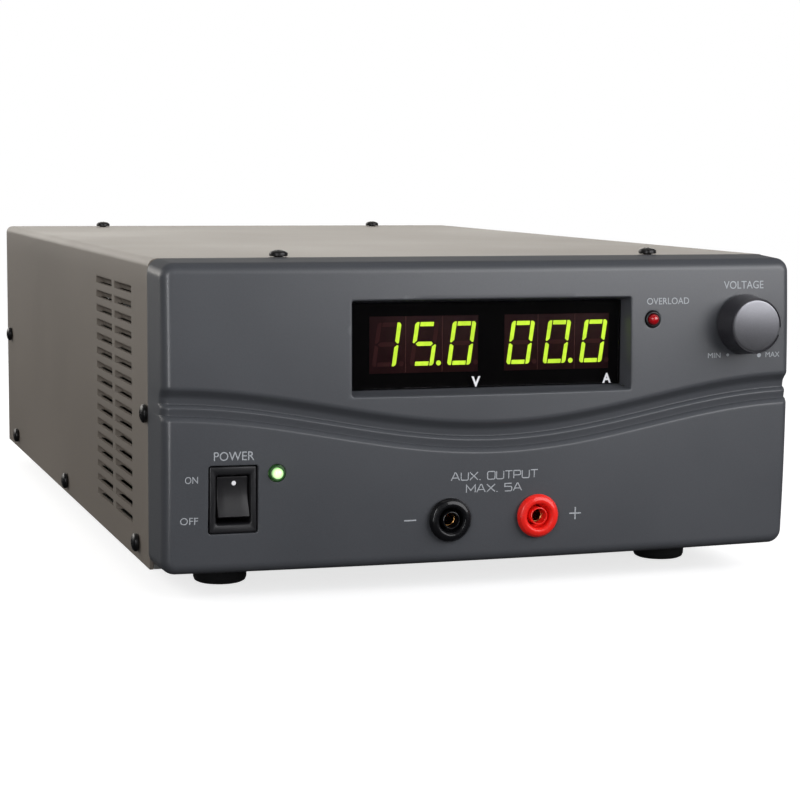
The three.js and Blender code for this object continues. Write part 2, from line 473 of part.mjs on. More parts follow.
// ---- fuse holder and its bayonet cap -----------------------------------------------------------------
{
  const { x, z } = FUSE, y = REAR_Y + GAP;
  add('fuse_holder', cut(latheY([[0, REAR_Y - 34], [4.6, REAR_Y - 34], [4.6, REAR_Y - 22], [6.1, REAR_Y - 22], [6.1, y], [8.2, y], [8.2, y + 1.6], [7.8, y + 2.0], [0, y + 2.0]], x, z, 16),
    cylY(x, z, REAR_Y - 26, y + 4, 4.1, 4.1, 14)), 0x111112, 0.5);
  let cap = latheY([[0, REAR_Y - 20], [3.7, REAR_Y - 20], [3.7, y + 2.3], [6.9, y + 2.3], [6.7, y + 8.4], [6.1, y + 9.1], [0, y + 9.1]], x, z, 18);
  cap = cap.subtract(box(x - 5.2, x + 5.2, y + 8.0, y + 12, z - 0.7, z + 0.7));
  add('fuse_cap', cap, 0x161617, 0.5);
}

// ---- output terminals ----------------------------------------------------------------------------------
for (const [i, id] of ['negative', 'positive'].entries()) {
  const x = TERM.xs[i], z = TERM.z, y = REAR_Y + GAP, col = i ? 0xa01c18 : 0x121213;
  add(`terminal_base_${id}`, latheY([[4.3, REAR_Y - 9], [6.0, REAR_Y - 9], [6.0, y], [13, y], [13, y + 4.6], [12.2, y + 5.4], [4.3, y + 5.4], [4.3, REAR_Y - 9]], x, z, 18), col, 0.45);
  add(`terminal_stud_${id}`, latheY([[0, REAR_Y - 24], [3.6, REAR_Y - 24], [4.0, REAR_Y - 23.6], [4.0, y + 5.7], [8.0, y + 5.7], [8.0, y + 8.2], [4.0, y + 8.2], [4.0, y + 23.6], [3.5, y + 24.1], [0, y + 24.1]], x, z, 14), 0xc09a4a, 0.3, 0.9);
  add(`terminal_washer_${id}`, latheY([[4.3, y + 8.5], [8.6, y + 8.5], [8.6, y + 10.1], [4.3, y + 10.1], [4.3, y + 8.5]], x, z, 16), 0xc5c5c0, 0.3, 1);
  let n = latheY([[4.3, y + 10.4], [9.0, y + 10.4], [9.0, y + 12.0], [11.2, y + 12.4], [11.2, y + 24.4], [10.2, y + 25.6], [0, y + 25.9], [0, y + 24.6], [4.3, y + 24.6], [4.3, y + 10.4]], x, z, 18);
  for (let k = 0; k < 6; k++) {
    const a = (k * Math.PI) / 3 + Math.PI / 6;
    n = n.subtract(cylY(x + 13.3 * Math.cos(a), z + 13.3 * Math.sin(a), y + 12.2, y + 28, 3.6, 3.6, 8));
  }
  add(`terminal_nut_${id}`, n, col, 0.4);
}

// ---- inside ---------------------------------------------------------------------------------------------
add('main_board', box(-94, 94, 32, 282, 8.0, 9.6), 0x1f5a34, 0.6);
const BT = 9.6 + GAP;
{
  const fins = [];
  const x0 = -86, x1 = -40, zt = 74;
  fins.push([x0, BT], [x1, BT], [x1, BT + 4]);
  for (let k = 0; k < 6; k++) {
    const a = x1 - k * 8.8;
    fins.push([a, BT + 4], [a, zt - k], [a - 2, zt - k], [a - 2, BT + 4]);
  }
  fins.push([x0, BT + 4]);
  const clean = fins.filter((p, i) => i === 0 || Math.hypot(p[0] - fins[i - 1][0], p[1] - fins[i - 1][1]) > 1e-6);
  add('heatsink', extrudeY(clean, 120, 260), 0xb5b7b8, 0.35, 0.9);
}
add('power_transformer', union(box(-4, 44, 165, 208, BT, BT + 14), box(-4, 44, 165, 208, BT + 34, BT + 46), box(-4, 6, 165, 208, BT + 10, BT + 38),
  box(34, 44, 165, 208, BT + 10, BT + 38), box(8, 32, 158, 215, BT + 12, BT + 36)), 0x3c3a38, 0.6);
add('bulk_capacitor', latheZ([[0, BT], [16.4, BT], [17.5, BT + 1], [17.5, BT + 48], [16.6, BT + 49], [0, BT + 49]], 62, 110, 16), 0x20304f, 0.4);
add('output_choke', latheZ([[8, BT], [21, BT], [22, BT + 1], [22, BT + 17], [21, BT + 18], [8, BT + 18], [8, BT]], 22, 248, 16), 0xa4622c, 0.5);

// ---- origin: middle of the whole object in plan, and its lowest point ------------------------------------
group.updateMatrixWorld(true);
const bb = new THREE.Box3().setFromObject(group, true);
const shift = new THREE.Vector3(-(bb.min.x + bb.max.x) / 2, -(bb.min.y + bb.max.y) / 2, -bb.min.z);
for (const m of group.children) m.geometry.translate(shift.x, shift.y, shift.z);

export default group;
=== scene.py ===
import bpy, bmesh, math, random
import numpy as np
from mathutils import Vector, Matrix


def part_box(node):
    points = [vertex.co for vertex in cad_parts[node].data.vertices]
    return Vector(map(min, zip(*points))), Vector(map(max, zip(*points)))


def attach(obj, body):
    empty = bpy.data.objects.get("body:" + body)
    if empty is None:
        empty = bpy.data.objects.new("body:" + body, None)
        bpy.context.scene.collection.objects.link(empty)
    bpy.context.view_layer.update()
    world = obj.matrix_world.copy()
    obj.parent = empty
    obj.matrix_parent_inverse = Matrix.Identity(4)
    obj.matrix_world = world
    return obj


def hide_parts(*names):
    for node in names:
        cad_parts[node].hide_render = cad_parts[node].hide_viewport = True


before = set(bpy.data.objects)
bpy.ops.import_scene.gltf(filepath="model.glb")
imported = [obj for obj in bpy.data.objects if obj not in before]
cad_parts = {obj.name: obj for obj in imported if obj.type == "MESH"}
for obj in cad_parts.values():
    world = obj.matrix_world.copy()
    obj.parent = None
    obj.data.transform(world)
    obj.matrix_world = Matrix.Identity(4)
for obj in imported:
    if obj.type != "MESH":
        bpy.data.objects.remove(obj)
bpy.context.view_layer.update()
random.seed(7)
MM = 0.001
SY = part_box("top_cover")[1].y - 0.333  # plane y = 0 of the dimensions below, just behind the seam
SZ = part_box("top_cover")[0].z          # lower edge of the cover

# ------------------------------------------------------------------ dimensions, mm, from the seam
W, H, D, SHEET, BEND = 109.5, 100.55, 333.0, 1.2, 2.8
BZ_HALF, BZ_BOT, BZ_TOP, BZ_CORNER, BZ_EDGE = 110.0, 1.2, 100.6, 4.6, 3.3
WIN = dict(x=48.5, z0=57.05, z1=87.67, draft=0.15)
LENS_Y = -19.5
KNOB = (90.5, 77.9)
SWITCH = (-86.9, 25.2)
LED_P, LED_O = (-72.9, 33.3), (56.3, 80.1)
JACK_X, JACK_Z = 15.3, 16.0
REAR = 332.0
SEAM = -2.6
GAP = 0.3
FAN = (-52.0, 51.0)
INLET = (80.0, 27.0)
FUSE = (80.0, 66.0)
TERM_X, TERM_Z = (14.0, 46.0), 34.0


def P(x, y, z):
    return (x * MM, y * MM + SY, z * MM + SZ)


# ------------------------------------------------------------------ node helpers
class Tree:
    def __init__(self, name):
        self.m = bpy.data.materials.new(name)
        self.m.use_nodes = True
        self.t = self.m.node_tree
        self.t.nodes.clear()
        self.out = self.n("ShaderNodeOutputMaterial")

    def n(self, kind, **kw):
        node = self.t.nodes.new(kind)
        for k, v in kw.items():
            setattr(node, k, v)
        return node

    def l(self, a, b):
        self.t.links.new(a, b)

    def coords(self):
        tc = self.n("ShaderNodeTexCoord")
        return tc.outputs["Object"]

    def noise(self, vec, scale, detail=2.0, rough=0.5, stretch=None):
        if stretch:
            mp = self.n("ShaderNodeMapping")
            mp.inputs["Scale"].default_value = stretch
            self.l(vec, mp.inputs["Vector"])
            vec = mp.outputs["Vector"]
        nz = self.n("ShaderNodeTexNoise")
        nz.inputs["Scale"].default_value = scale
        nz.inputs["Detail"].default_value = detail
        nz.inputs["Roughness"].default_value = rough
        self.l(vec, nz.inputs["Vector"])
        return nz.outputs["Fac"]

    def math(self, op, a, b=None, clamp=False):
        nd = self.n("ShaderNodeMath", operation=op, use_clamp=clamp)
        for i, v in enumerate((a, b)):
            if v is None:
                continue
            if isinstance(v, (int, float)):
                nd.inputs[i].default_value = v
            else:
                self.l(v, nd.inputs[i])
        return nd.outputs[0]

    def remap(self, v, a, b, c, d):
        nd = self.n("ShaderNodeMapRange")
        for k, x in zip(("From Min", "From Max", "To Min", "To Max"), (a, b, c, d)):
            nd.inputs[k].default_value = x
        self.l(v, nd.inputs["Value"])
        return nd.outputs[0]

    def mix(self, fac, a, b):
        nd = self.n("ShaderNodeMix", data_type="RGBA")
        for s, v in ((nd.inputs[0], fac), (nd.inputs[6], a), (nd.inputs[7], b)):
            if isinstance(v, (int, float)):
                s.default_value = v
            elif isinstance(v, (tuple, list)):
                s.default_value = (*v[:3], 1)
            else:
                self.l(v, s)
        return nd.outputs[2]

    def shade(self, color, k):
        """colour multiplied by a value socket"""
        nd = self.n("ShaderNodeMix", data_type="RGBA", blend_type="MULTIPLY")
        nd.inputs[0].default_value = 1
        if isinstance(color, (tuple, list)):
            nd.inputs[6].default_value = (*color[:3], 1)
        else:
            self.l(color, nd.inputs[6])
        cmb = self.n("ShaderNodeCombineColor")
        for i in range(3):
            self.l(k, cmb.inputs[i])
        self.l(cmb.outputs[0], nd.inputs[7])
        return nd.outputs[2]


def lin(r, g, b):
    f = lambda c: c / 255 / 12.92 if c / 255 <= 0.04045 else ((c / 255 + 0.055) / 1.055) ** 2.4
    return (f(r), f(g), f(b))


MATS = {}


def material(name, color, rough=0.5, metal=0.0, var=0.10, var_scale=28, grain=2200, grain_amt=0.10,
             bump=0.25, bump_scale=2600, bump_dist=0.00003, rough_var=0.10, coat=0.0, coat_rough=0.1,
             spec=0.5, wear_and_highlight=0.35, wear_and_highlight_col=None, stretch=None, dust=0.0, top_matt=0.0):
    """A finish with low and high frequency variation in colour, roughness and height, and lighter edges that are
    partly wear and partly a painted edge highlight.
    """
    T = Tree(name)
    p = T.n("ShaderNodeBsdfPrincipled")
    T.l(p.outputs[0], T.out.inputs["Surface"])
    co = T.coords()
    low = T.noise(co, var_scale, 3.0, 0.55)
    fine = T.noise(co, grain, 3.0, 0.6, stretch)
    k = T.math("ADD", T.remap(low, 0.3, 0.7, 1 - var, 1 + var), T.remap(fine, 0.3, 0.7, -grain_amt, grain_amt))
    col = T.shade(color, k)
    # lighter convex edges: partly rubbed wear, partly a painted highlight along the edges
    if wear_and_highlight > 0:
        geo = T.n("ShaderNodeNewGeometry")
        edge = T.remap(geo.outputs["Pointiness"], 0.52, 0.62, 0.0, 1.0)
        brk = T.remap(T.noise(co, 420, 2.0), 0.35, 0.65, 0.25, 1.0)
        fac = T.math("MULTIPLY", T.math("MULTIPLY", edge, brk), wear_and_highlight, clamp=True)
        edge_wear_highlight_col = wear_and_highlight_col or tuple(min(1.0, c * 1.9 + 0.02) for c in color)
        col = T.mix(fac, col, edge_wear_highlight_col)
    if dust > 0:
        geo2 = T.n("ShaderNodeNewGeometry")
        sep = T.n("ShaderNodeSeparateXYZ")
        T.l(geo2.outputs["Normal"], sep.inputs[0])
        up = T.math("MULTIPLY", T.remap(sep.outputs[2], 0.5, 1.0, 0.0, 1.0), T.remap(T.noise(co, 60, 4.0), 0.4, 0.7, 0.0, dust))
        col = T.mix(up, col, (0.42, 0.40, 0.37))
    T.l(col, p.inputs["Base Color"])
    r = T.math("ADD", T.remap(low, 0.3, 0.7, rough - rough_var * 0.5, rough + rough_var * 0.5),
               T.remap(fine, 0.3, 0.7, -rough_var * 0.4, rough_var * 0.4), clamp=True)
    if top_matt > 0:      # upward faces carry a deeper moulded grain with little shine
        geo3 = T.n("ShaderNodeNewGeometry")
        sep3 = T.n("ShaderNodeSeparateXYZ")
        T.l(geo3.outputs["Normal"], sep3.inputs[0])
        k3 = T.math("MULTIPLY", T.remap(sep3.outputs[2], 0.14, 0.60, 0.0, 1.0), top_matt, clamp=True)
        r = T.math("ADD", r, T.math("MULTIPLY", k3, 0.35), clamp=True)
        T.l(T.math("MULTIPLY", T.math("SUBTRACT", 1.0, k3), spec), p.inputs["Specular IOR Level"])
    T.l(r, p.inputs["Roughness"])
    p.inputs["Metallic"].default_value = metal
    if top_matt <= 0:
        p.inputs["Specular IOR Level"].default_value = spec
    p.inputs["Coat Weight"].default_value = coat
    p.inputs["Coat Roughness"].default_value = coat_rough
    if bump > 0:
        b = T.n("ShaderNodeBump")
        b.inputs["Strength"].default_value = bump
        b.inputs["Distance"].default_value = bump_dist
        T.l(T.noise(co, bump_scale, 3.0, 0.55, stretch), b.inputs["Height"])
        T.l(b.outputs[0], p.inputs["Normal"])
    MATS[name] = T.m
    return T.m


BEZEL = material("bezel_plastic", lin(76, 78, 82), rough=0.34, var=0.05, var_scale=14, grain=2600, grain_amt=0.07,
                 bump=0.35, bump_scale=3400, bump_dist=0.00003, rough_var=0.08, spec=0.75, wear_and_highlight=0.35,
                 wear_and_highlight_col=lin(118, 120, 124), top_matt=0.93)
COVER = material("cover_paint", lin(120, 112, 103), rough=0.46, var=0.05, var_scale=9, grain=2400, grain_amt=0.08,
                 bump=0.4, bump_scale=2600, bump_dist=0.00004, rough_var=0.08, spec=0.5, wear_and_highlight=0.3,
                 wear_and_highlight_col=lin(150, 146, 140))
ZINC = material("zinc_sheet", lin(176, 177, 174), rough=0.36, metal=0.85, var=0.10, var_scale=60, grain=1500, grain_amt=0.06,
                bump=0.15, bump_scale=1800, bump_dist=0.00002, stretch=(1, 0.08, 1), wear_and_highlight=0.2)
SWITCHP = material("switch_plastic", lin(24, 24, 26), rough=0.40, var=0.10, grain_amt=0.10, bump=0.25, bump_scale=3800,
                   bump_dist=0.00002, wear_and_highlight=0.45, wear_and_highlight_col=lin(70, 70, 74))
# the rocker's lighter edges are partly a painted edge highlight
ROCKERP = material("rocker_plastic", lin(23, 22, 24), rough=0.40, spec=0.35, var=0.10, grain_amt=0.10, bump=0.2, bump_scale=4200,
                   bump_dist=0.00002, wear_and_highlight=0.6, wear_and_highlight_col=lin(92, 90, 92))
BLACKI = material("black_insulator", lin(19, 19, 21), rough=0.30, spec=0.14, var=0.12, grain_amt=0.08, bump=0.04, bump_scale=1500,
                  bump_dist=0.00001, coat=0.42, coat_rough=0.05, wear_and_highlight=0.25, wear_and_highlight_col=lin(46, 46, 48))
REDI = material("red_insulator", lin(255, 42, 34), rough=0.32, spec=0.25, var=0.04, grain_amt=0.05, bump=0.04, bump_scale=1500,
                bump_dist=0.00001, coat=0.40, coat_rough=0.06, wear_and_highlight=0.2, wear_and_highlight_col=lin(250, 96, 86))
BRASS = material("brass_contact", lin(196, 148, 92), rough=0.26, metal=1.0, var=0.12, grain_amt=0.08, bump=0.12,
                 bump_scale=1800, bump_dist=0.00002, stretch=(1, 0.1, 1), wear_and_highlight=0.3)
KNOBP = material("knob_plastic", lin(54, 53, 58), rough=0.34, spec=0.4, var=0.08, grain_amt=0.08, bump=0.2, bump_scale=3800,
                 bump_dist=0.00002, wear_and_highlight=0.35, wear_and_highlight_col=lin(86, 86, 90))
SCREWB = material("screw_black", lin(20, 20, 21), rough=0.30, metal=0.35, var=0.15, var_scale=300, grain_amt=0.12, bump=0.2,
                  bump_scale=1800, bump_dist=0.00003, wear_and_highlight=0.5, wear_and_highlight_col=lin(84, 82, 80))
RUBBER = material("foot_rubber", lin(22, 22, 23), rough=0.72, var=0.15, var_scale=120, grain_amt=0.15, bump=0.5, bump_scale=1600,
                  bump_dist=0.00006, wear_and_highlight=0.3, wear_and_highlight_col=lin(62, 62, 62), spec=0.35)
FANP = material("fan_plastic", lin(24, 24, 25), rough=0.46, var=0.10, grain_amt=0.10, bump=0.25, bump_scale=2600, wear_and_highlight=0.35,
                wear_and_highlight_col=lin(64, 64, 66))
CHROME = material("guard_chrome", lin(200, 200, 198), rough=0.18, metal=1.0, var=0.06, grain_amt=0.05, bump=0.08, wear_and_highlight=0.1)
PLATED = material("plated_steel", lin(184, 182, 174), rough=0.26, metal=1.0, var=0.08, grain_amt=0.07, bump=0.12, wear_and_highlight=0.2)
INLETP = material("inlet_plastic", lin(22, 22, 23), rough=0.38, var=0.10, grain_amt=0.10, bump=0.25, bump_scale=3000, wear_and_highlight=0.4,
                  wear_and_highlight_col=lin(66, 66, 68))
BOARD = material("circuit_board", lin(30, 84, 50), rough=0.42, var=0.12, var_scale=90, grain=900, grain_amt=0.12, bump=0.3,
                 bump_scale=700, wear_and_highlight=0.3)
ALU = material("heatsink_aluminium", lin(172, 174, 176), rough=0.34, metal=0.95, var=0.08, grain_amt=0.08, bump=0.2,
               stretch=(1, 0.05, 1), wear_and_highlight=0.3)
CORE = material("transformer_core", lin(62, 58, 54), rough=0.55, var=0.15, grain=700, grain_amt=0.15, bump=0.4,
                stretch=(0.1, 1, 1), wear_and_highlight=0.3)
SLEEVE = material("capacitor_sleeve", lin(34, 46, 84), rough=0.32, var=0.08, grain_amt=0.06, bump=0.1, wear_and_highlight=0.2)
COPPER = material("copper_winding", lin(168, 92, 46), rough=0.32, metal=0.6, var=0.15, grain=500, grain_amt=0.2, bump=0.6,
                  bump_scale=500, bump_dist=0.0003, stretch=(1, 1, 4), wear_and_highlight=0.2)
MODULE = material("digit_module", lin(104, 58, 62), rough=0.5, var=0.12, var_scale=120, grain_amt=0.06, bump=0.1, wear_and_highlight=0.2)
DIVIDER = material("digit_divider", lin(205, 140, 138), rough=0.5, var=0.12, var_scale=150, grain_amt=0.1, bump=0.1, wear_and_highlight=0.0)
MASKP = material("filter_print", lin(9, 9, 10), rough=0.6, var=0.10, var_scale=120, grain_amt=0.05, bump=0.1, wear_and_highlight=0.0, spec=0.2)
UNLIT = material("digit_unlit", lin(150, 88, 90), rough=0.5, var=0.10, var_scale=200, grain_amt=0.05, bump=0.1, wear_and_highlight=0.0)
INK = material("legend_ink", lin(176, 180, 184), rough=0.5, var=0.05, var_scale=300, grain=3000, grain_amt=0.14, bump=0.3,
               bump_scale=3000, bump_dist=0.00001, wear_and_highlight=0.0)
INKW = material("legend_ink_white", lin(246, 246, 248), rough=0.5, var=0.03, var_scale=300, grain=3000, grain_amt=0.05, bump=0.2,
                bump_scale=3000, bump_dist=0.00001, wear_and_highlight=0.0)


def knob_face_material():
    T = Tree("knob_face_satin")
    p = T.n("ShaderNodeBsdfPrincipled")
    T.l(p.outputs[0], T.out.inputs["Surface"])
    co = T.coords()
    low, fine = T.noise(co, 90, 2.0), T.noise(co, 2600, 3.0)
    T.l(T.shade(lin(126, 126, 130), T.math("ADD", T.remap(low, .3, .7, .95, 1.05), T.remap(fine, .3, .7, -.05, .05))), p.inputs["Base Color"])
    T.l(T.remap(fine, .3, .7, .29, .36), p.inputs["Roughness"])
    p.inputs["Metallic"].default_value = 0.9
    b = T.n("ShaderNodeBump")
    b.inputs["Strength"].default_value = 0.15
    b.inputs["Distance"].default_value = 0.00002
    T.l(fine, b.inputs["Height"])
    T.l(b.outputs[0], p.inputs["Normal"])
    return T.m


KNOBF = knob_face_material()


def lit_material(name, core, strength, var=0.12, scale=600):
    T = Tree(name)
    p = T.n("ShaderNodeBsdfPrincipled")
    T.l(p.outputs[0], T.out.inputs["Surface"])
    co = T.coords()
    v = T.math("ADD", T.remap(T.noise(co, scale, 2.0), .3, .7, 1 - var, 1 + var), T.remap(T.noise(co, 90, 1.0), .3, .7, -var / 2, var / 2))
    col = T.shade(core, v)
    T.l(T.shade(tuple(c * 0.3 for c in core), v), p.inputs["Base Color"])
    T.l(col, p.inputs["Emission Color"])
    p.inputs["Emission Strength"].default_value = strength
    p.inputs["Roughness"].default_value = 0.5
    return T.m


LIT = lit_material("digit_lit", lin(205, 252, 66), 2.8)
# the power lamp's collar is no lamp: its green emission is a painted glow of the lamp's light on it
COLLAR_PAINTED_GLOW = lit_material("lamp_collar_painted_glow", lin(26, 74, 22), 0.5)


def lens_material():
    """Dark filter: mostly clear with a deep tint, and a glossy front."""
    T = Tree("display_filter")
    co = T.coords()
    v = T.remap(T.noise(co, 60, 2.0), .3, .7, .96, 1.04)
    tr = T.n("ShaderNodeBsdfTransparent")
    T.l(T.shade((0.60, 0.58, 0.58), v), tr.inputs["Color"])
    gl = T.n("ShaderNodeBsdfGlossy")
    gl.inputs["Color"].default_value = (0.8, 0.8, 0.85, 1)
    T.l(T.remap(T.noise(co, 700, 2.0), .3, .7, .03, .07), gl.inputs["Roughness"])
    fr = T.n("ShaderNodeFresnel")
    fr.inputs["IOR"].default_value = 1.25
    mx = T.n("ShaderNodeMixShader")
    T.l(fr.outputs[0], mx.inputs[0])
    T.l(tr.outputs[0], mx.inputs[1])
    T.l(gl.outputs[0], mx.inputs[2])
    T.l(mx.outputs[0], T.out.inputs["Surface"])
    return T.m


LENS = lens_material()


def dome_material(name, color, emit, strength, rough=0.12):
    """Tinted epoxy lamp: glossy skin, colour that deepens towards the rim."""
    T = Tree(name)
    p = T.n("ShaderNodeBsdfPrincipled")
    T.l(p.outputs[0], T.out.inputs["Surface"])
    co = T.coords()
    lw = T.n("ShaderNodeLayerWeight")
    lw.inputs["Blend"].default_value = 0.45
    v = T.remap(T.noise(co, 900, 2.0), .3, .7, .92, 1.08)
    col = T.shade(T.mix(lw.outputs["Facing"], color, tuple(c * 0.35 for c in color)), v)
    T.l(col, p.inputs["Base Color"])
    T.l(T.shade(T.mix(T.math("POWER", lw.outputs["Facing"], 0.8), emit, tuple(c * 0.10 for c in emit)), v), p.inputs["Emission Color"])
    p.inputs["Emission Strength"].default_value = strength
    T.l(T.remap(v, .92, 1.08, rough * .8, rough * 1.2), p.inputs["Roughness"])
    p.inputs["Coat Weight"].default_value = 0.8
    p.inputs["Coat Roughness"].default_value = 0.05
    return T.m


GREEN = dome_material("green_lamp", lin(120, 235, 90), lin(212, 255, 186), 1.7)
RED = dome_material("red_lamp", lin(178, 14, 24), lin(200, 10, 24), 0.12)


# ------------------------------------------------------------------ mesh helpers
def finish_mesh(me, sharp=32.0):
    bm = bmesh.new()
    bm.from_mesh(me)
    bmesh.ops.remove_doubles(bm, verts=bm.verts, dist=1e-7)
    bmesh.ops.recalc_face_normals(bm, faces=bm.faces)
    t = math.radians(sharp)
    for f in bm.faces:
        f.smooth = True
    for e in bm.edges:
        if len(e.link_faces) == 2:
            e.smooth = e.calc_face_angle(0.0) < t
        else:
            e.smooth = False
    bm.to_mesh(me)
    bm.free()
    me.update()


def obj_from(name, verts, faces, mat=None, sharp=32.0, mm=True):
    me = bpy.data.meshes.new(name)
    me.from_pydata([P(*v) for v in verts] if mm else verts, [], faces)
    o = bpy.data.objects.new(name, me)
    bpy.context.scene.collection.objects.link(o)
    finish_mesh(me, sharp)
    if mat:
        me.materials.append(mat)
    return o


def resharp(o, sharp=32.0):
    finish_mesh(o.data, sharp)
    return o


def place(o, body, nodes=()):
    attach(o, body)
    if nodes:
        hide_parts(*nodes)
    return o


def evaluated(o):
    dg = bpy.context.evaluated_depsgraph_get()
    me = bpy.data.meshes.new_from_object(o.evaluated_get(dg))
    o.modifiers.clear()
    old = o.data
    o.data = me
    bpy.data.meshes.remove(old)
    return o


def boolean(o, cutter, op="DIFFERENCE", keep=False):
    before = (len(o.data.vertices), len(o.data.polygons))
    for solver in ("MANIFOLD", "EXACT"):
        m = o.modifiers.new("b", "BOOLEAN")
        m.operation, m.solver, m.object = op, solver, cutter
        bpy.context.view_layer.update()
        evaluated(o)
        if (len(o.data.vertices), len(o.data.polygons)) != before and len(o.data.vertices):
            break
    else:
        print("BOOLEAN without effect:", o.name, cutter.name)
    if not keep:
        me = cutter.data
        bpy.data.objects.remove(cutter)
        bpy.data.meshes.remove(me)
    return o


def bevelled(o, width, segments=3, angle=35, sharp=32.0):
    m = o.modifiers.new("bev", "BEVEL")
    m.width, m.segments, m.limit_method, m.angle_limit = width * MM, segments, "ANGLE", math.radians(angle)
    m.use_clamp_overlap = True
    m.miter_outer = "MITER_ARC"
    bpy.context.view_layer.update()
    evaluated(o)
    return resharp(o, sharp)


def join(name, parts, mat=None):
    bm = bmesh.new()
    for p in parts:
        bm.from_mesh(p.data)
        me = p.data
        bpy.data.objects.remove(p)
        bpy.data.meshes.remove(me)
    me = bpy.data.meshes.new(name)
    bm.to_mesh(me)
    bm.free()
    o = bpy.data.objects.new(name, me)
    bpy.context.scene.collection.objects.link(o)
    if mat:
        me.materials.clear()
        me.materials.append(mat)
        for f in me.polygons:
            f.material_index = 0
    return o


def fillet(pts, r, n=4, closed=False):
    out, N = [], len(pts)
    for i, p in enumerate(pts):
        rr = r[i] if isinstance(r, (list, tuple)) else r
        if (not closed and i in (0, N - 1)) or rr <= 0:
            out.append(tuple(p))
            continue
        a, b, c = Vector(pts[i - 1]), Vector(p), Vector(pts[(i + 1) % N])
        u, v = a - b, c - b
        lu, lv = u.length, v.length
        if lu < 1e-9 or lv < 1e-9:
            out.append(tuple(p))
            continue
        u /= lu
        v /= lv
        ang = math.acos(max(-1, min(1, u.dot(v))))
        if ang > math.pi - 0.06 or ang < 0.05:
            out.append(tuple(p))
            continue
        t = min(rr / math.tan(ang / 2), 0.45 * lu, 0.45 * lv)
        q = t * math.tan(ang / 2)
        ce = b + (u + v).normalized() * (q / math.sin(ang / 2))
        s, e = b + u * t, b + v * t
        a0, a1 = math.atan2(*(s - ce).yx), math.atan2(*(e - ce).yx)
        da = (a1 - a0 + math.pi) % (2 * math.pi) - math.pi
        for k in range(n + 1):
            w = a0 + da * k / n
            out.append((ce.x + q * math.cos(w), ce.y + q * math.sin(w)))
    return out


def lathe(name, pts, centre, axis="y", seg=64, mat=None, closed=False, sharp=32.0, phase=0.0):
    """pts are (radius, place along the axis); centre is the other two coordinates in mm"""
    verts, faces, rings = [], [], []

    def put(r, t, a):
        c, s = r * math.cos(a), r * math.sin(a)
        if axis == "y":
            return (centre[0] + c, t, centre[1] + s)
        if axis == "z":
            return (centre[0] + c, centre[1] + s, t)
        return (t, centre[0] + c, centre[1] + s)

    for r, t in pts:
        if r < 1e-6:
            rings.append([len(verts)])
            verts.append(put(0, t, 0))
        else:
            rings.append(list(range(len(verts), len(verts) + seg)))
            verts += [put(r, t, 2 * math.pi * k / seg + phase) for k in range(seg)]
    pairs = list(zip(rings, rings[1:])) + ([(rings[-1], rings[0])] if closed else [])
    for A, B in pairs:
        for k in range(seg):
            j = (k + 1) % seg
            if len(A) == 1 and len(B) == 1:
                continue
            if len(A) == 1:
                faces.append((A[0], B[k], B[j]))
            elif len(B) == 1:
                faces.append((A[k], A[j], B[0]))
            else:
                faces.append((A[k], A[j], B[j], B[k]))
    return obj_from(name, verts, faces, mat, sharp)


def box_o(name, x0, x1, y0, y1, z0, z1, mat=None):
    v = [(x, y, z) for x in (x0, x1) for y in (y0, y1) for z in (z0, z1)]
    f = [(0, 1, 3, 2), (4, 6, 7, 5), (0, 4, 5, 1), (2, 3, 7, 6), (0, 2, 6, 4), (1, 5, 7, 3)]
    return obj_from(name, v, f, mat)


def prism_y(name, pts, y0, y1, mat=None):
    n = len(pts)
    v = [(x, y0, z) for x, z in pts] + [(x, y1, z) for x, z in pts]
    f = [tuple(range(n)), tuple(range(2 * n - 1, n - 1, -1))] + [(i, (i + 1) % n, n + (i + 1) % n, n + i) for i in range(n)]
    return obj_from(name, v, f, mat)


def tube(name, path, r, seg=12, closed=False, mat=None):
    """round wire along a path of mm points"""
    pts = [Vector(p) for p in path]
    n = len(pts)
    verts, faces = [], []
    ref = Vector((0, 1, 0))
    for i, p in enumerate(pts):
        a = pts[(i - 1) % n] if closed or i else p
        b = pts[(i + 1) % n] if closed or i < n - 1 else p
        d = (b - a).normalized()
        side = d.cross(ref)
        if side.length < 1e-3:
            side = d.cross(Vector((1, 0, 0)))
        side.normalize()
        up = side.cross(d).normalized()
        verts += [tuple(p + (side * math.cos(2 * math.pi * k / seg) + up * math.sin(2 * math.pi * k / seg)) * r) for k in range(seg)]
    for i in range(n if closed else n - 1):
        j = (i + 1) % n
        for k in range(seg):
            q = (k + 1) % seg
            faces.append((i * seg + k, i * seg + q, j * seg + q, j * seg + k))
    if not closed:
        faces += [tuple(range(seg)), tuple(range((n - 1) * seg + seg - 1, (n - 1) * seg - 1, -1))]
    return obj_from(name, verts, faces, mat)


def refine(node, name, mat, width=0.25, segments=2, body="case", angle=38, sharp=34.0):
    """The CAD node's own shape with rounded edges and smooth round faces."""
    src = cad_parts[node]
    me = src.data.copy()
    me.name = name
    o = bpy.data.objects.new(name, me)
    bpy.context.scene.collection.objects.link(o)
    bm = bmesh.new()
    bm.from_mesh(me)
    bmesh.ops.remove_doubles(bm, verts=bm.verts, dist=2e-6)
    bmesh.ops.dissolve_limit(bm, angle_limit=math.radians(0.6), verts=bm.verts, edges=bm.edges)
    bmesh.ops.recalc_face_normals(bm, faces=bm.faces)
    for f in bm.faces:
        f.smooth = True
    bm.to_mesh(me)
    bm.free()
    me.materials.clear()
    me.materials.append(mat)
    if width > 0:
        bevelled(o, width, segments, angle, sharp)
    else:
        resharp(o, sharp)
    return place(o, body, (node,))


# ------------------------------------------------------------------ the bezel face
ZC, ZH = 50.5, 50.0


def face(x, z):
    return -(21.0 + 4.0 * (1 - (x / BZ_HALF) ** 2) + 1.9 * (1 - ((z - ZC) / ZH) ** 2))


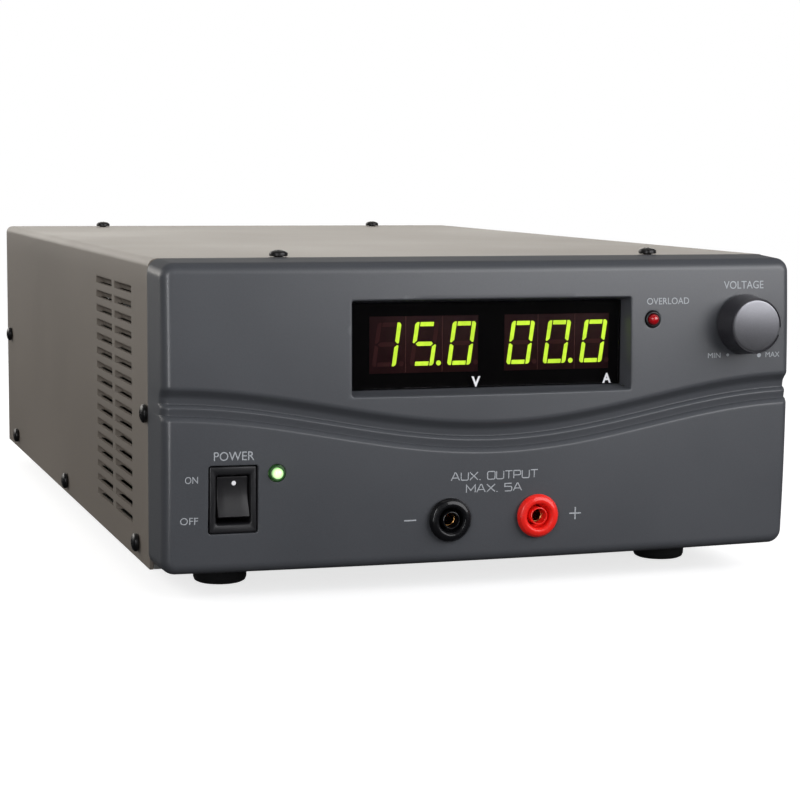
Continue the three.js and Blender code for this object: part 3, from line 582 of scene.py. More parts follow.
def groove_top(x):
    x = max(-110.0, min(110.0, x))
    return 48.3 + 12.9 * (1 - math.cos(math.pi * x / BZ_HALF)) / 2


_G = [(0, 0), (.8, .22), (1.6, .95), (2.6, 1.95), (3.4, 2.5), (5.6, 2.9), (5.75, 1.95), (6.6, 1.32), (6.8, 1.30), (9.2, 1.78), (9.35, .85), (10.6, .05), (10.9, 0), (12.0, 0)]
_gs = np.arange(-2.0, 14.0, 0.05)
_gd = np.interp(_gs, [a for a, _ in _G], [b for _, b in _G], left=0, right=0)
_k = np.exp(-0.5 * (np.arange(-16, 17) * 0.05 / 0.11) ** 2)
_gd = np.convolve(_gd, _k / _k.sum(), mode="same")


def groove(x, z):
    return float(np.interp(groove_top(x) - z, _gs, _gd))


def skin(x, z):
    return face(x, z) + groove(x, z)


def rrect(hx, z0, z1, r, n=6, cx=0.0):
    """rounded rectangle in X-Z, anticlockwise from the front, with outward directions"""
    out = []
    for (sx, zc, a0) in ((1, z0 + r, -90), (1, z1 - r, 0), (-1, z1 - r, 90), (-1, z0 + r, 180)):
        for k in range(n + 1):
            a = math.radians(a0 + 90 * k / n)
            out.append((cx + sx * (hx - r) + r * math.cos(a), zc + r * math.sin(a), math.cos(a), math.sin(a)))
    return out


def subdivide_ring(ring, step):
    out, n = [], len(ring)
    for i in range(n):
        a, b = ring[i], ring[(i + 1) % n]
        d = math.hypot(b[0] - a[0], b[1] - a[1])
        m = max(1, int(round(d / step)))
        for k in range(m):
            t = k / m
            nx, nz = a[2] + (b[2] - a[2]) * t, a[3] + (b[3] - a[3]) * t
            l = math.hypot(nx, nz) or 1
            out.append((a[0] + (b[0] - a[0]) * t, a[1] + (b[1] - a[1]) * t, nx / l, nz / l))
    return out


def loft_cutter(name, ring, rad, y_back, taper=0.0, y_ref=-25.6, rings_deep=(1.5, 4.0)):
    """A plug that cuts an opening whose edge is rounded by rad and follows the curved face."""
    levels = [(rad * 1.0, -1.5), (rad * 1.0, -0.3)]
    for k in range(7):
        th = math.pi / 2 * k / 6
        levels.append((rad * (1 - math.sin(th)), rad * (1 - math.cos(th))))
    verts, faces = [], []
    n = len(ring)
    rows = 0
    for off, dep in levels:
        for (x, z, nx, nz) in ring:
            X, Z = x + nx * off, z + nz * off
            Y = skin(X, Z) + dep
            s = -(Y - y_ref) * taper
            verts.append((X + nx * s, Y, Z + nz * s))
        rows += 1
    for Yb in [*rings_deep, None]:
        for (x, z, nx, nz) in ring:
            Y = y_back if Yb is None else min(skin(x, z) + rad + Yb, y_back - 0.2)
            s = -(Y - y_ref) * taper
            verts.append((x + nx * s, Y, z + nz * s))
        rows += 1
    for i in range(rows - 1):
        for k in range(n):
            j = (k + 1) % n
            faces.append((i * n + k, i * n + j, (i + 1) * n + j, (i + 1) * n + k))
    # end caps as fans about a middle point
    for row, y in ((0, None), (rows - 1, y_back)):
        c = [verts[row * n + k] for k in range(n)]
        m = (sum(p[0] for p in c) / n, sum(p[1] for p in c) / n, sum(p[2] for p in c) / n)
        if row == 0:
            m = (m[0], m[1] - 2.0, m[2])
        verts.append(m)
        mi = len(verts) - 1
        for k in range(n):
            faces.append((row * n + k, row * n + (k + 1) % n, mi))
    return obj_from(name, verts, faces)


def make_bezel():
    th = [math.pi / 2 * k / 8 for k in range(9)]
    EDGE = [BZ_EDGE * (1 - math.cos(t)) for t in th] + [3.75, 4.2, BZ_CORNER]
    E = len(EDGE) - 1
    inner = 150
    low, high = 30, 30
    gst = [0, .4, .7, 1.0, 1.25, 1.5, 1.75, 2.0, 2.25, 2.5, 2.75, 3.0, 3.3, 3.7, 4.2, 4.8, 5.3, 5.5, 5.6, 5.68, 5.78, 5.92, 6.2, 6.5, 6.68, 6.9,
           7.4, 8.0, 8.7, 9.1, 9.2, 9.28, 9.38, 9.52, 9.8, 10.2, 10.5, 10.7, 10.95, 11.4, 12.0]
    gst = [-0.8, -0.4] + gst + [12.4]
    G = len(gst) - 1
    nx, nz = 2 * E + inner, 2 * E + low + high + G
    fil = lambda d: 0.0 if d >= BZ_EDGE else BZ_EDGE - math.sqrt(max(0.0, BZ_EDGE ** 2 - (BZ_EDGE - d) ** 2))

    def point(i, k, back):
        half = BZ_HALF if back else BZ_HALF - 0.6
        zt, zb = (BZ_TOP if back else BZ_TOP - 0.7), BZ_BOT
        ex = ez = 99
        if i <= E:
            ex = EDGE[i]
            x = -half + ex
        elif i >= nx - E:
            ex = EDGE[nx - i]
            x = half - ex
        else:
            x = -half + BZ_CORNER + (2 * half - 2 * BZ_CORNER) * (i - E) / inner
        zs = groove_top(x)
        k1, k2 = E + low, E + low + G
        if k <= E:
            ez = EDGE[k]
            z = zb + ez
        elif k >= nz - E:
            ez = EDGE[nz - k]
            z = zt - ez
        elif k < k1:
            a, b = zb + BZ_CORNER, zs - gst[-1]
            z = a + (b - a) * (k - E) / low
        elif k <= k2:
            z = zs - gst[G - (k - k1)]
        else:
            a, b = zs - gst[0], zt - BZ_CORNER
            z = a + (b - a) * (k - k2) / high
        d = min(ex, ez)
        if ex <= BZ_CORNER and ez <= BZ_CORNER:
            a, b = BZ_CORNER - ex, BZ_CORNER - ez
            m, l = max(a, b), math.hypot(a, b)
            if l > 0:
                x = math.copysign(half - BZ_CORNER + a * m / l, x)
                z = zb + BZ_CORNER - b * m / l if k <= E else zt - BZ_CORNER + b * m / l
            d = BZ_CORNER - m
        return x, z, d

    verts, faces, idx = [], [], {}
    for k in range(nz + 1):
        for i in range(nx + 1):
            x, z, d = point(i, k, False)
            idx[i, k] = len(verts)
            verts.append((x, skin(x, z) + fil(d), z))
    for k in range(nz):
        for i in range(nx):
            faces.append((idx[i, k], idx[i + 1, k], idx[i + 1, k + 1], idx[i, k + 1]))
    loop = [(i, 0) for i in range(nx)] + [(nx, k) for k in range(nz)] + [(i, nz) for i in range(nx, 0, -1)] + [(0, k) for k in range(nz, 0, -1)]
    prev = [idx[c] for c in loop]
    yb = SEAM - 0.4
    for t, ins, dy in ((0.12, 0, 0), (0.35, 0, 0), (0.6, 0, 0), (0.85, 0, 0), (1.0, 0, -0.4), (1.0, 0.06, -0.2), (1.0, 0.2, -0.06), (1.0, 0.4, 0.0)):
        ring = []
        for c in loop:
            xf, zf, _ = point(*c, False)
            xb, zbk, _ = point(*c, True)
            yf = skin(xf, zf) + BZ_EDGE
            yend = yb - 0.4
            if t < 1:
                x, z, y = xf + (xb - xf) * t, zf + (zbk - zf) * t, yf + (yend - yf) * t
            else:
                # pull in along the outline's own normal, approximated from the distance to the corner centre
                cxx = math.copysign(max(0.0, abs(xb) - (BZ_HALF - BZ_CORNER)), xb)
                czz = zbk - (BZ_TOP - BZ_CORNER) if zbk > BZ_TOP - BZ_CORNER else (zbk - (BZ_BOT + BZ_CORNER) if zbk < BZ_BOT + BZ_CORNER else 0.0)
                l = math.hypot(cxx, czz) or 1
                x, z, y = xb - cxx / l * ins, zbk - czz / l * ins, yb + dy
            ring.append(len(verts))
            verts.append((x, y, z))
        n = len(loop)
        for q in range(n):
            faces.append((prev[q], prev[(q + 1) % n], ring[(q + 1) % n], ring[q]))
        prev = ring
    # back of the bezel, a fan that the hollow removes
    verts.append((0, yb, 50.9))
    c = len(verts) - 1
    n = len(prev)
    for q in range(n):
        faces.append((prev[q], prev[(q + 1) % n], c))
    b = obj_from("bezel_shell", verts, faces)

    # hollow
    cv, cf = [], []
    NX, NZ = 28, 14
    hx, z0, z1 = BZ_HALF - 2.6 - 0.4, 50.9 - (BZ_TOP - BZ_BOT - 2 * 2.6 - .6) / 2, 50.9 + (BZ_TOP - BZ_BOT - 2 * 2.6 - .6) / 2
    ci = {}
    for k in range(NZ + 1):
        for i in range(NX + 1):
            x, z = -hx + 2 * hx * i / NX, z0 + (z1 - z0) * k / NZ
            for s in (0, 1):
                ci[i, k, s] = len(cv)
                cv.append((x, face(x, z) + 5.0 if s == 0 else 3.0, z))
    for k in range(NZ):
        for i in range(NX):
            for s in (0, 1):
                cf.append((ci[i, k, s], ci[i + 1, k, s], ci[i + 1, k + 1, s], ci[i, k + 1, s]))
    for i in range(NX):
        for k in (0, NZ):
            cf.append((ci[i, k, 0], ci[i + 1, k, 0], ci[i + 1, k, 1], ci[i, k, 1]))
    for k in range(NZ):
        for i in (0, NX):
            cf.append((ci[i, k, 0], ci[i, k + 1, 0], ci[i, k + 1, 1], ci[i, k, 1]))
    cav = obj_from("cav", cv, cf)
    boolean(cav, box_o("wf", -WIN["x"] - 3, WIN["x"] + 3, -30, -17.4, WIN["z0"] - 2.6, WIN["z1"] + 2.6))
    for (x, z) in ((-98, 88), (98, 92), (-98, 8.5), (98, 8.5)):
        boolean(cav, lathe("post", [(0, -30), (3.6, -30), (3.4, SEAM), (0, SEAM)], (x, z), seg=24))
    # window, switch, lamps, knob bush and sockets
    w = subdivide_ring(rrect(WIN["x"], WIN["z0"], WIN["z1"], 0.9, 6), 2.0)
    boolean(b, loft_cutter("cut_window", w, 0.55, -14.03, taper=WIN["draft"]))
    boolean(b, cav)
    s = subdivide_ring(rrect(15.9 / 2, SWITCH[1] - 21.9 / 2, SWITCH[1] + 21.9 / 2, 0.9, 5, cx=SWITCH[0]), 2.0)
    boolean(b, loft_cutter("cut_switch", s, 0.3, -10.0))
    for (x, z), r, e in ((LED_P, 2.85, .3), (LED_O, 2.85, .3), (KNOB, 3.8, .2), ((-JACK_X, JACK_Z), 6.2, .2), ((JACK_X, JACK_Z), 6.2, .2)):
        ring = [(x + r * math.cos(a), z + r * math.sin(a), math.cos(a), math.sin(a)) for a in [2 * math.pi * k / 48 for k in range(48)]]
        boolean(b, loft_cutter("cut_round", ring, e, -8.0))
    b.data.materials.clear()
    b.data.materials.append(BEZEL)
    for f in b.data.polygons:
        f.material_index = 0
    resharp(b, 40)
    return place(b, "case", ("front_bezel",))


# ------------------------------------------------------------------ folded cover with pressed louvres
LOUVRE = dict(z0=90.1, pitch=5.14, rows=16, h=2.4, cols=((26.0, 57.0), (61.6, 92.4)), front=1.0, rear=2.2)


def make_cover():
    ys = {SEAM, SEAM + 0.35, 8.0, 16.0, 22.0, 25.6, 59.3, 92.8, 100.0, 120.0, 150.0, 180.0, 210.0, 240.0, 270.0, 300.0, 325.0, D - 0.35, D}
    for y0, y1 in LOUVRE["cols"]:
        ys |= {round(y0 + LOUVRE["front"] * r, 3) for r in (0.0, 0.15, 0.35, 0.65, 0.85, 1.0)}
        ys |= {round(y1 - LOUVRE["rear"] * r, 3) for r in (0.0, 0.1, 0.2, 0.35, 0.5, 0.65, 0.8, 0.9, 1.0)}
        a, b = y0 + LOUVRE["front"], y1 - LOUVRE["rear"]
        for k in range(1, 5):
            ys.add(round(a + (b - a) * k / 5, 3))
    ys = sorted(ys)
    prof = [(-0.5, None), (-0.25, 0.0), (0.0, 0.08), (0.2, 0.5), (0.4, 1.0), (0.65, 1.5), (1.0, 1.95), (1.6, 2.3), (2.4, 2.55), (2.65, None)]
    zs = {0.0: None, 0.35: None, 2.0: None, H - BEND: None}
    for i in range(LOUVRE["rows"]):
        zt = LOUVRE["z0"] - LOUVRE["pitch"] * i
        for dz, dd in prof:
            zs[round(zt - dz, 3)] = None if dd is None else (i, dd, dz)
    zl = sorted(zs)

    def ends(y):
        for y0, y1 in LOUVRE["cols"]:
            if y0 - 1e-6 <= y <= y1 + 1e-6:
                t = max(0.0, min(1.0, (y - y0) / LOUVRE["front"], (y1 - y) / LOUVRE["rear"]))
                return t * t * (3 - 2 * t) if t < 1 else 1.0
        return 0.0

    # the outline from the left lower edge over the top to the right lower edge: (kind, x, z, inward, info)
    prof_pts = []
    for z in zl:
        prof_pts.append((-W, z, 1, zs[z]))
    for k in range(1, 9):
        a = math.radians(180 - 90 * k / 8)
        prof_pts.append((-W + BEND + BEND * math.cos(a), H - BEND + BEND * math.sin(a), 0, None))
    for k in range(1, 12):
        prof_pts.append((-W + BEND + (2 * W - 2 * BEND) * k / 12, H, 0, None))
    for k in range(0, 8):
        a = math.radians(90 - 90 * k / 8)
        prof_pts.append((W - BEND + BEND * math.cos(a), H - BEND + BEND * math.sin(a), 0, None))
    for z in reversed(zl):
        prof_pts.append((W, z, -1, zs[z]))
    verts, faces, up, lo = [], [], {}, {}
    for j, y in enumerate(ys):
        e = ends(y)
        for i, (x, z, s, info) in enumerate(prof_pts):
            if info and e > 0 and info[1] > 0:
                d = info[1] * e
                up[i, j] = len(verts)
                verts.append((x + s * d, y, z))
                if info[2] >= 2.4 - 1e-6:      # lanced edge: the sheet below stays in plane
                    lo[i, j] = len(verts)
                    verts.append((x, y, z))
                else:
                    lo[i, j] = up[i, j]
            else:
                up[i, j] = lo[i, j] = len(verts)
                verts.append((x, y, z))
    n = len(prof_pts)
    for j in range(len(ys) - 1):
        for i in range(n - 1):
            left = prof_pts[i][0] < 0 and prof_pts[i + 1][0] < 0
            # on the left the outline climbs, so this cell lies above point i; on the right it lies below point i
            if prof_pts[i][2] == 1:
                a, b = up, lo          # lower row is seen from above it, upper row from below it
                faces.append((a[i, j], b[i + 1, j], b[i + 1, j + 1], a[i, j + 1]))
            elif prof_pts[i][2] == -1:
                faces.append((lo[i, j], up[i + 1, j], up[i + 1, j + 1], lo[i, j + 1]))
            else:
                faces.append((up[i, j], up[i + 1, j], up[i + 1, j + 1], up[i, j + 1]))
    me = bpy.data.meshes.new("cover_sheet")
    me.from_pydata([P(*v) for v in verts], [], faces)
    o = bpy.data.objects.new("cover_sheet", me)
    bpy.context.scene.collection.objects.link(o)
    bm = bmesh.new()
    bm.from_mesh(me)
    # outward faces
    top = max(bm.faces, key=lambda f: f.calc_center_median().z)
    bmesh.ops.recalc_face_normals(bm, faces=bm.faces)
    top.normal_update()
    if top.normal.z < 0:
        bmesh.ops.reverse_faces(bm, faces=bm.faces)
    bm.to_mesh(me)
    bm.free()
    m = o.modifiers.new("thick", "SOLIDIFY")
    m.thickness, m.offset = SHEET * MM, -1
    m.use_even_offset = False
    m.thickness_clamp = 0
    bpy.context.view_layer.update()
    evaluated(o)
    resharp(o, 38)
    o.data.materials.clear()
    o.data.materials.append(COVER)
    return place(o, "case", ("top_cover",))


# ------------------------------------------------------------------ lettering
def surface_text(name, polys, on_skin=True, y=None, mat=INK, body="case", lift=0.03, thick=0.06):
    """polys: list of (verts [(x, z)], faces). Laid on the face as a thin coat of ink."""
    verts, faces = [], []
    for vs, fs in polys:
        o = len(verts)
        n = len(vs)
        for (x, z) in vs:
            Y = (skin(x, z) if on_skin else y)
            verts.append((x, Y - lift, z))
        for (x, z) in vs:
            Y = (skin(x, z) if on_skin else y)
            verts.append((x, Y - lift + thick, z))
        edges = {}
        for f in fs:
            faces.append(tuple(o + i for i in f))
            faces.append(tuple(o + n + i for i in reversed(f)))
            for a, b in zip(f, f[1:] + f[:1]):
                edges[a, b] = edges.get((a, b), 0) + 1
        for (a, b) in edges:
            if (b, a) not in edges:
                faces.append((o + a, o + b, o + n + b, o + n + a))
    me = bpy.data.meshes.new(name)
    me.from_pydata([P(*v) for v in verts], [], faces)
    bm = bmesh.new()
    bm.from_mesh(me)
    bmesh.ops.recalc_face_normals(bm, faces=bm.faces)
    bm.to_mesh(me)
    bm.free()
    me.materials.append(mat)
    o = bpy.data.objects.new(name, me)
    bpy.context.scene.collection.objects.link(o)
    return place(o, body)


def font_polys(text, x0, x1, zb, zt, weight=0.0, spacing=1.0):
    """Built-in typeface, fitted to x0..x1 and zb..zt"""
    cu = bpy.data.curves.new("t", "FONT")
    cu.body = text
    cu.size = 1.0
    cu.offset = weight
    cu.space_character = spacing
    cu.resolution_u = 4
    o = bpy.data.objects.new("t", cu)
    bpy.context.scene.collection.objects.link(o)
    dg = bpy.context.evaluated_depsgraph_get()
    me = bpy.data.meshes.new_from_object(o.evaluated_get(dg))
    bm = bmesh.new()
    bm.from_mesh(me)
    bmesh.ops.remove_doubles(bm, verts=bm.verts, dist=1e-5)
    bm.verts.ensure_lookup_table()
    vs = [(v.co.x, v.co.y) for v in bm.verts]
    fs = [tuple(v.index for v in f.verts) for f in bm.faces]
    bm.free()
    bpy.data.objects.remove(o)
    bpy.data.curves.remove(cu)
    a0, a1 = min(v[0] for v in vs), max(v[0] for v in vs)
    b0, b1 = min(v[1] for v in vs), max(v[1] for v in vs)
    vs = [(x0 + (x1 - x0) * (x - a0) / (a1 - a0), zb + (zt - zb) * (z - b0) / (b1 - b0)) for x, z in vs]
    return [(vs, fs)]


def arc_pts(cx, cy, r, a0, a1, n=5):
    return [(cx + r * math.cos(math.radians(a0 + (a1 - a0) * k / n)), cy + r * math.sin(math.radians(a0 + (a1 - a0) * k / n))) for k in range(n + 1)]


def wide_glyph(ch):
    """Square extended letters drawn as centre lines in a box one unit high: (width, [(points, closed)])"""
    r = 0.2
    if ch == "A":
        return 1.14, [([(0, 0), (0.50, 1), (0.64, 1), (1.14, 0)], False), ([(0.20, 0.33), (0.94, 0.33)], False)]
    if ch == "U":
        return 1.0, [([(0, 1)] + arc_pts(r, r, r, 180, 270) + arc_pts(1 - r, r, r, 270, 360) + [(1, 1)], False)]
    if ch == "X":
        return 1.12, [([(0, 0), (1.12, 1)], False), ([(0, 1), (1.12, 0)], False)]
    if ch == "O":
        return 1.04, [(arc_pts(1.04 - r, r, r, 270, 360) + arc_pts(1.04 - r, 1 - r, r, 0, 90) + arc_pts(r, 1 - r, r, 90, 180) + arc_pts(r, r, r, 180, 270), True)]
    if ch == "T":
        return 1.0, [([(0, 1), (1.0, 1)], False), ([(0.5, 1), (0.5, 0)], False)]
    if ch == "P":
        return 0.96, [([(0, 0), (0, 1)] + arc_pts(.96 - r, 1 - r, r, 90, 0) + arc_pts(.96 - r, .42 + r, r, 0, -90) + [(0, .42)], False)]
    if ch == "M":
        return 1.2, [([(0, 0), (0, 1), (0.6, 0.28), (1.2, 1), (1.2, 0)], False)]
    if ch == "5":
        return 0.96, [([(0.94, 1), (0, 1), (0, .6)] + arc_pts(.96 - r, .6 - r, r, 90, 0) + arc_pts(.96 - r, r, r, 0, -90) + [(0, 0)], False)]
    if ch == ".":
        return 0.14, [([(0.0, 0.0), (0.14, 0.0)], False)]
    return 0.55, []


def ribbon(pts, t, closed):
    n = len(pts)
    L, R = [], []
    for i, p in enumerate(pts):
        a = pts[i - 1] if (closed or i) else None
        b = pts[(i + 1) % n] if (closed or i < n - 1) else None
        d1 = Vector((p[0] - a[0], p[1] - a[1])).normalized() if a else None
        d2 = Vector((b[0] - p[0], b[1] - p[1])).normalized() if b else None
        if d1 is None:
            nrm, k = Vector((-d2.y, d2.x)), 1
        elif d2 is None:
            nrm, k = Vector((-d1.y, d1.x)), 1
        else:
            n1, n2 = Vector((-d1.y, d1.x)), Vector((-d2.y, d2.x))
            nrm = (n1 + n2)
            nrm = nrm.normalized() if nrm.length > 1e-6 else n1
            k = 1 / max(0.45, nrm.dot(n1))
        L.append((p[0] + nrm.x * t / 2 * k, p[1] + nrm.y * t / 2 * k))
        R.append((p[0] - nrm.x * t / 2 * k, p[1] - nrm.y * t / 2 * k))
    vs = L + R
    fs = [(i, n + i, n + (i + 1) % n, (i + 1) % n) for i in range(n if closed else n - 1)]
    return vs, fs


def wide_polys(text, x0, x1, zb, zt, t=0.13, gap=0.22):
    items, x = [], 0.0
    for ch in text:
        w, lines = wide_glyph(ch)
        for pts, closed in lines:
            items.append(ribbon([(px + x, py) for px, py in pts], t, closed))
        x += w + gap
    a1 = x - gap
    h = zt - zb
    return [([(x0 + (x1 - x0) * vx / a1, zb + h * vz) for vx, vz in vs], fs) for vs, fs in items]


def disc_polys(x, z, r, n=28):
    vs = [(x, z)] + [(x + r * math.cos(2 * math.pi * k / n), z + r * math.sin(2 * math.pi * k / n)) for k in range(n)]
    return [(vs, [(0, 1 + k, 1 + (k + 1) % n) for k in range(n)])]


def bar_polys(x0, x1, z0, z1):
    return [([(x0, z0), (x1, z0), (x1, z1), (x0, z1)], [(0, 1, 2, 3)])]


def make_text():
    surface_text("legend_power", font_polys("POWER", -93.2, -80.3, 37.75, 40.6))
    surface_text("legend_on", font_polys("ON", -102.3, -98.2, 30.75, 32.95))
    surface_text("legend_off", font_polys("OFF", -103.8, -98.1, 17.6, 19.9))
    surface_text("legend_overload", font_polys("OVERLOAD", 54.2, 69.9, 85.0, 87.2))
    surface_text("legend_voltage", font_polys("VOLTAGE", 83.25, 98.6, 89.8, 92.4))
    surface_text("legend_min", font_polys("MIN", 77.2, 82.0, 66.6, 68.3))
    surface_text("legend_max", font_polys("MAX", 99.6, 105.1, 66.35, 68.1))
    surface_text("legend_min_dot", disc_polys(84.8, 67.5, 0.5))
    surface_text("legend_max_dot", disc_polys(97.0, 67.1, 0.75))
    surface_text("legend_minus", bar_polys(-30.7, -26.6, 15.95, 16.4))
    surface_text("legend_plus", bar_polys(27.1, 31.3, 15.78, 16.22) + bar_polys(28.98, 29.42, 13.9, 15.78) + bar_polys(28.98, 29.42, 16.22, 18.1))
    surface_text("legend_aux_output", wide_polys("AUX. OUTPUT", -14.9, 15.3, 28.75, 31.3))
    surface_text("legend_max_rating", wide_polys("MAX. 5A", -9.6, 9.7, 24.6, 27.1))
    surface_text("legend_volts", font_polys("V", -5.75, -2.65, 58.45, 61.95, weight=0.035), on_skin=False, y=LENS_Y, mat=INKW)
    surface_text("legend_amps", font_polys("A", 40.9, 44.0, 58.6, 61.95, weight=0.035), on_skin=False, y=LENS_Y, mat=INKW)


# ------------------------------------------------------------------ display
SEG = {
    "a": [(0, 12.87), (4.8, 12.87), (4.8, 14.42), (0, 14.42)],
    "d": [(0, 0), (4.8, 0), (4.8, 1.52), (0, 1.52)],
    "g": [(-0.72, 7.23), (0.05, 6.47), (4.75, 6.47), (5.4, 7.2), (4.75, 8.0), (0.05, 8.0)],
    "f": [(-1.76, 7.6), (-1.3, 7.4), (-0.28, 8.25), (-0.2, 14.42), (-0.85, 14.42), (-1.45, 14.15), (-1.76, 13.6)],
    "e": [(-1.76, 6.85), (-1.76, 0.8), (-1.45, 0.25), (-0.9, 0.0), (-0.2, 0.0), (-0.25, 6.4), (-1.3, 7.08)],
    "b": [(5.0, 14.42), (5.05, 8.15), (6.1, 7.38), (6.52, 7.6), (6.55, 13.6), (6.25, 14.15), (5.65, 14.42)],
    "c": [(5.0, 0), (5.7, 0), (6.25, 0.25), (6.52, 0.8), (6.52, 6.85), (6.15, 7.08), (5.05, 6.38)],
}
DIGIT = {"0": "abcdef", "1": "bc", "5": "afgcd", " ": ""}
SLANT = 0.1356


def seg_shape(poly, x0, z0, inset=0.08):
    cu, cz = (min(q[0] for q in poly) + max(q[0] for q in poly)) / 2, (min(q[1] for q in poly) + max(q[1] for q in poly)) / 2
    poly = [(u - math.copysign(min(inset, abs(u - cu)), u - cu), z - math.copysign(min(inset, abs(z - cz)), z - cz)) for u, z in poly]
    p = fillet(poly, 0.16, 3, closed=True)
    return ([(x0 + u + SLANT * (z - 0.75), z0 + z) for u, z in p], [tuple(range(len(p)))])


def make_display():
    yface = LENS_Y + 2.0 + GAP
    for node, x0, x1, z0, z1, digits, org, zb, divs, dps in (
            ("voltage_digits", -40.3, -2.6, 63.3, 82.0, "150", (-37.53, -24.63, -11.74), 65.56, (-27.8, -15.15), 1),
            ("current_digits", 6.3, 44.0, 63.3, 82.0, "000", (9.0, 21.95, 35.05), 65.38, (18.35, 31.55), 1)):
        body = box_o(node + "_body", x0, x1, yface, yface + 8, z0, z1, MODULE)
        bevelled(body, 0.25, 2)
        # grooves between the three digit blocks
        for dx in divs:
            boolean(body, box_o("g", dx - 0.1, dx + 0.1, yface - 1, yface + 0.5, z0 - 1, z1 + 1))
        body.data.materials.clear()
        body.data.materials.append(MODULE)
        for f in body.data.polygons:
            f.material_index = 0
        resharp(body)
        place(body, "case", (node,))
        tag = node.split("_")[0]
        lit, dark = [], []
        for d, ox in zip(digits, org):
            for s, poly in SEG.items():
                (lit if s in DIGIT[d] else dark).append(seg_shape(poly, ox, zb))
        for i, ox in enumerate(org):
            (lit if i == dps else dark).extend(disc_polys(ox + 8.2, zb + 0.86, 0.83, 24))
        surface_text(f"{tag}_segments_lit", lit, on_skin=False, y=yface, mat=LIT, lift=0.05, thick=0.07)
        surface_text(f"{tag}_segments_unlit", dark, on_skin=False, y=yface, mat=UNLIT, lift=0.02, thick=0.04)
        surface_text(f"{tag}_dividers", [q for dx in divs for q in bar_polys(dx - 0.09, dx + 0.09, z0 + 0.25, z1 - 0.2)], on_skin=False, y=yface, mat=DIVIDER,
                     lift=0.02, thick=0.4)
    # filter, bevelled all round, with the faintly lit lower edge of a cut acrylic sheet
    s = (LENS_Y + 25.6) * -WIN["draft"] - GAP
    lens = box_o("lens_filter", -WIN["x"] - s, WIN["x"] + s, LENS_Y, LENS_Y + 2.0, WIN["z0"] - s, WIN["z1"] + s, LENS)
    bevelled(lens, 0.4, 3)
    lens.data.materials.clear()
    lens.data.materials.append(LENS)
    resharp(lens, 8)
    place(lens, "case", ("display_lens",))
    # black print on the back of the filter, with an opening for each digit block
    mask = box_o("filter_mask", -WIN["x"] - s + 0.1, WIN["x"] + s - 0.1, LENS_Y + 2.03, LENS_Y + 2.2, WIN["z0"] - s + 0.1, WIN["z1"] + s - 0.1)
    for x0, x1 in ((-40.3, -2.6), (6.3, 44.0)):
        boolean(mask, box_o("o", x0 + 0.05, x1 - 0.05, LENS_Y + 1.5, LENS_Y + 2.8, 63.35, 81.95))
    mask.data.materials.clear()
    mask.data.materials.append(MASKP)
    resharp(mask)
    place(mask, "case")


def make_led(node, xz, mat, back, name, collar=None):
    x, z = xz
    f = face(x, z)
    # collar: dark, or with a painted green glow of the lamp's light when a glowing material is passed
    col = lathe(name + "_collar", fillet([(1.95, f + 1.4), (2.6, f + 1.4), (2.6, f - 0.55), (2.2, f - 0.75), (1.95, f - 0.5)], 0.16, 3, closed=True), xz, seg=48,
                mat=collar or SWITCHP, closed=True)
    place(col, "case")
    dome = [(0, f - 2.4)] + [(1.8 * math.sin(a), f - 0.85 - 1.55 * math.cos(a)) for a in [math.pi / 2 * k / 10 for k in range(1, 11)]]
    body = lathe(name, dome + [(1.8, f + 3), (1.9, f + 3.2), (1.9, back - 0.4), (1.6, back), (0, back)], xz, seg=48, mat=mat)
    place(body, "case", (node,))


# ------------------------------------------------------------------ knob, switch, sockets
def make_knob():
    y0, y1, r0, r1 = -24.6, -34.0, 10.2, 9.25
    k = lathe("knob_body", fillet([(3.3, y0 - 3.5), (6.9, y0 - 3.5), (6.9, y0), (r0, y0), (r0 - 0.08, y0 - 0.9), (r1 + 0.05, y1 + 0.6), (r1 - 0.3, y1), (r1 - 0.5, y1 + 0.02),
                                   (r1 - 0.5, y1 + 0.5), (0, y1 + 0.5)], [0, .3, .1, .35, .3, .35, .3, .05, .05, 0], 5) , KNOB, seg=128, mat=None)
    # close it: bore for the shaft
    bm = bmesh.new()
    bm.from_mesh(k.data)
    rim = [e for e in bm.edges if len(e.link_faces) == 1]
    r = bmesh.ops.extrude_edge_only(bm, edges=rim)
    vs = [v for v in r["geom"] if isinstance(v, bmesh.types.BMVert)]
    for v in vs:
        v.co.y = -31.5 * MM + SY
    bmesh.ops.contextual_create(bm, geom=[e for e in bm.edges if len(e.link_faces) == 1])
    bm.to_mesh(k.data)
    bm.free()
    resharp(k, 34)
    a = math.radians(-7.5)
    c, s = math.cos(a), math.sin(a)
    nick = box_o("nick", 8.5, 11.4, y1 - 1, y1 + 2.6, -1.9, 0.6)
    for v in nick.data.vertices:
        x, z = v.co.x / MM, (v.co.z - SZ) / MM
        v.co.x, v.co.z = (KNOB[0] + x * c - z * s) * MM, (KNOB[1] + x * s + z * c) * MM + SZ
    boolean(k, nick)
    k.data.materials.clear()
    k.data.materials.append(KNOBP)
    for f in k.data.polygons:
        f.material_index = 0
    resharp(k, 34)
    place(k, "knob", ("voltage_knob",))
    # satin front cap, slightly crowned
    R = r1 - 0.56
    cap = [(0, y1 + 0.49), (R - 0.06, y1 + 0.49), (R, y1 + 0.42), (R, y1 + 0.34), (R - 0.12, y1 + 0.26)] + \
          [(r, y1 + 0.24 - 0.49 * (1 - (r / (R - 0.12)) ** 2)) for r in [(R - 0.12) * (1 - q / 20) for q in range(1, 20)]] + [(0, y1 - 0.25)]
    f = lathe("knob_face", cap, KNOB, seg=128, mat=KNOBF, sharp=40)
    place(f, "knob")
    sh = lathe("control_shaft", fillet([(0, -31.2), (3.0, -31.2), (3.0, -13.4), (0, -13.4)], .3, 3), KNOB, seg=48, mat=PLATED)
    place(sh, "knob", ("pot_shaft",))


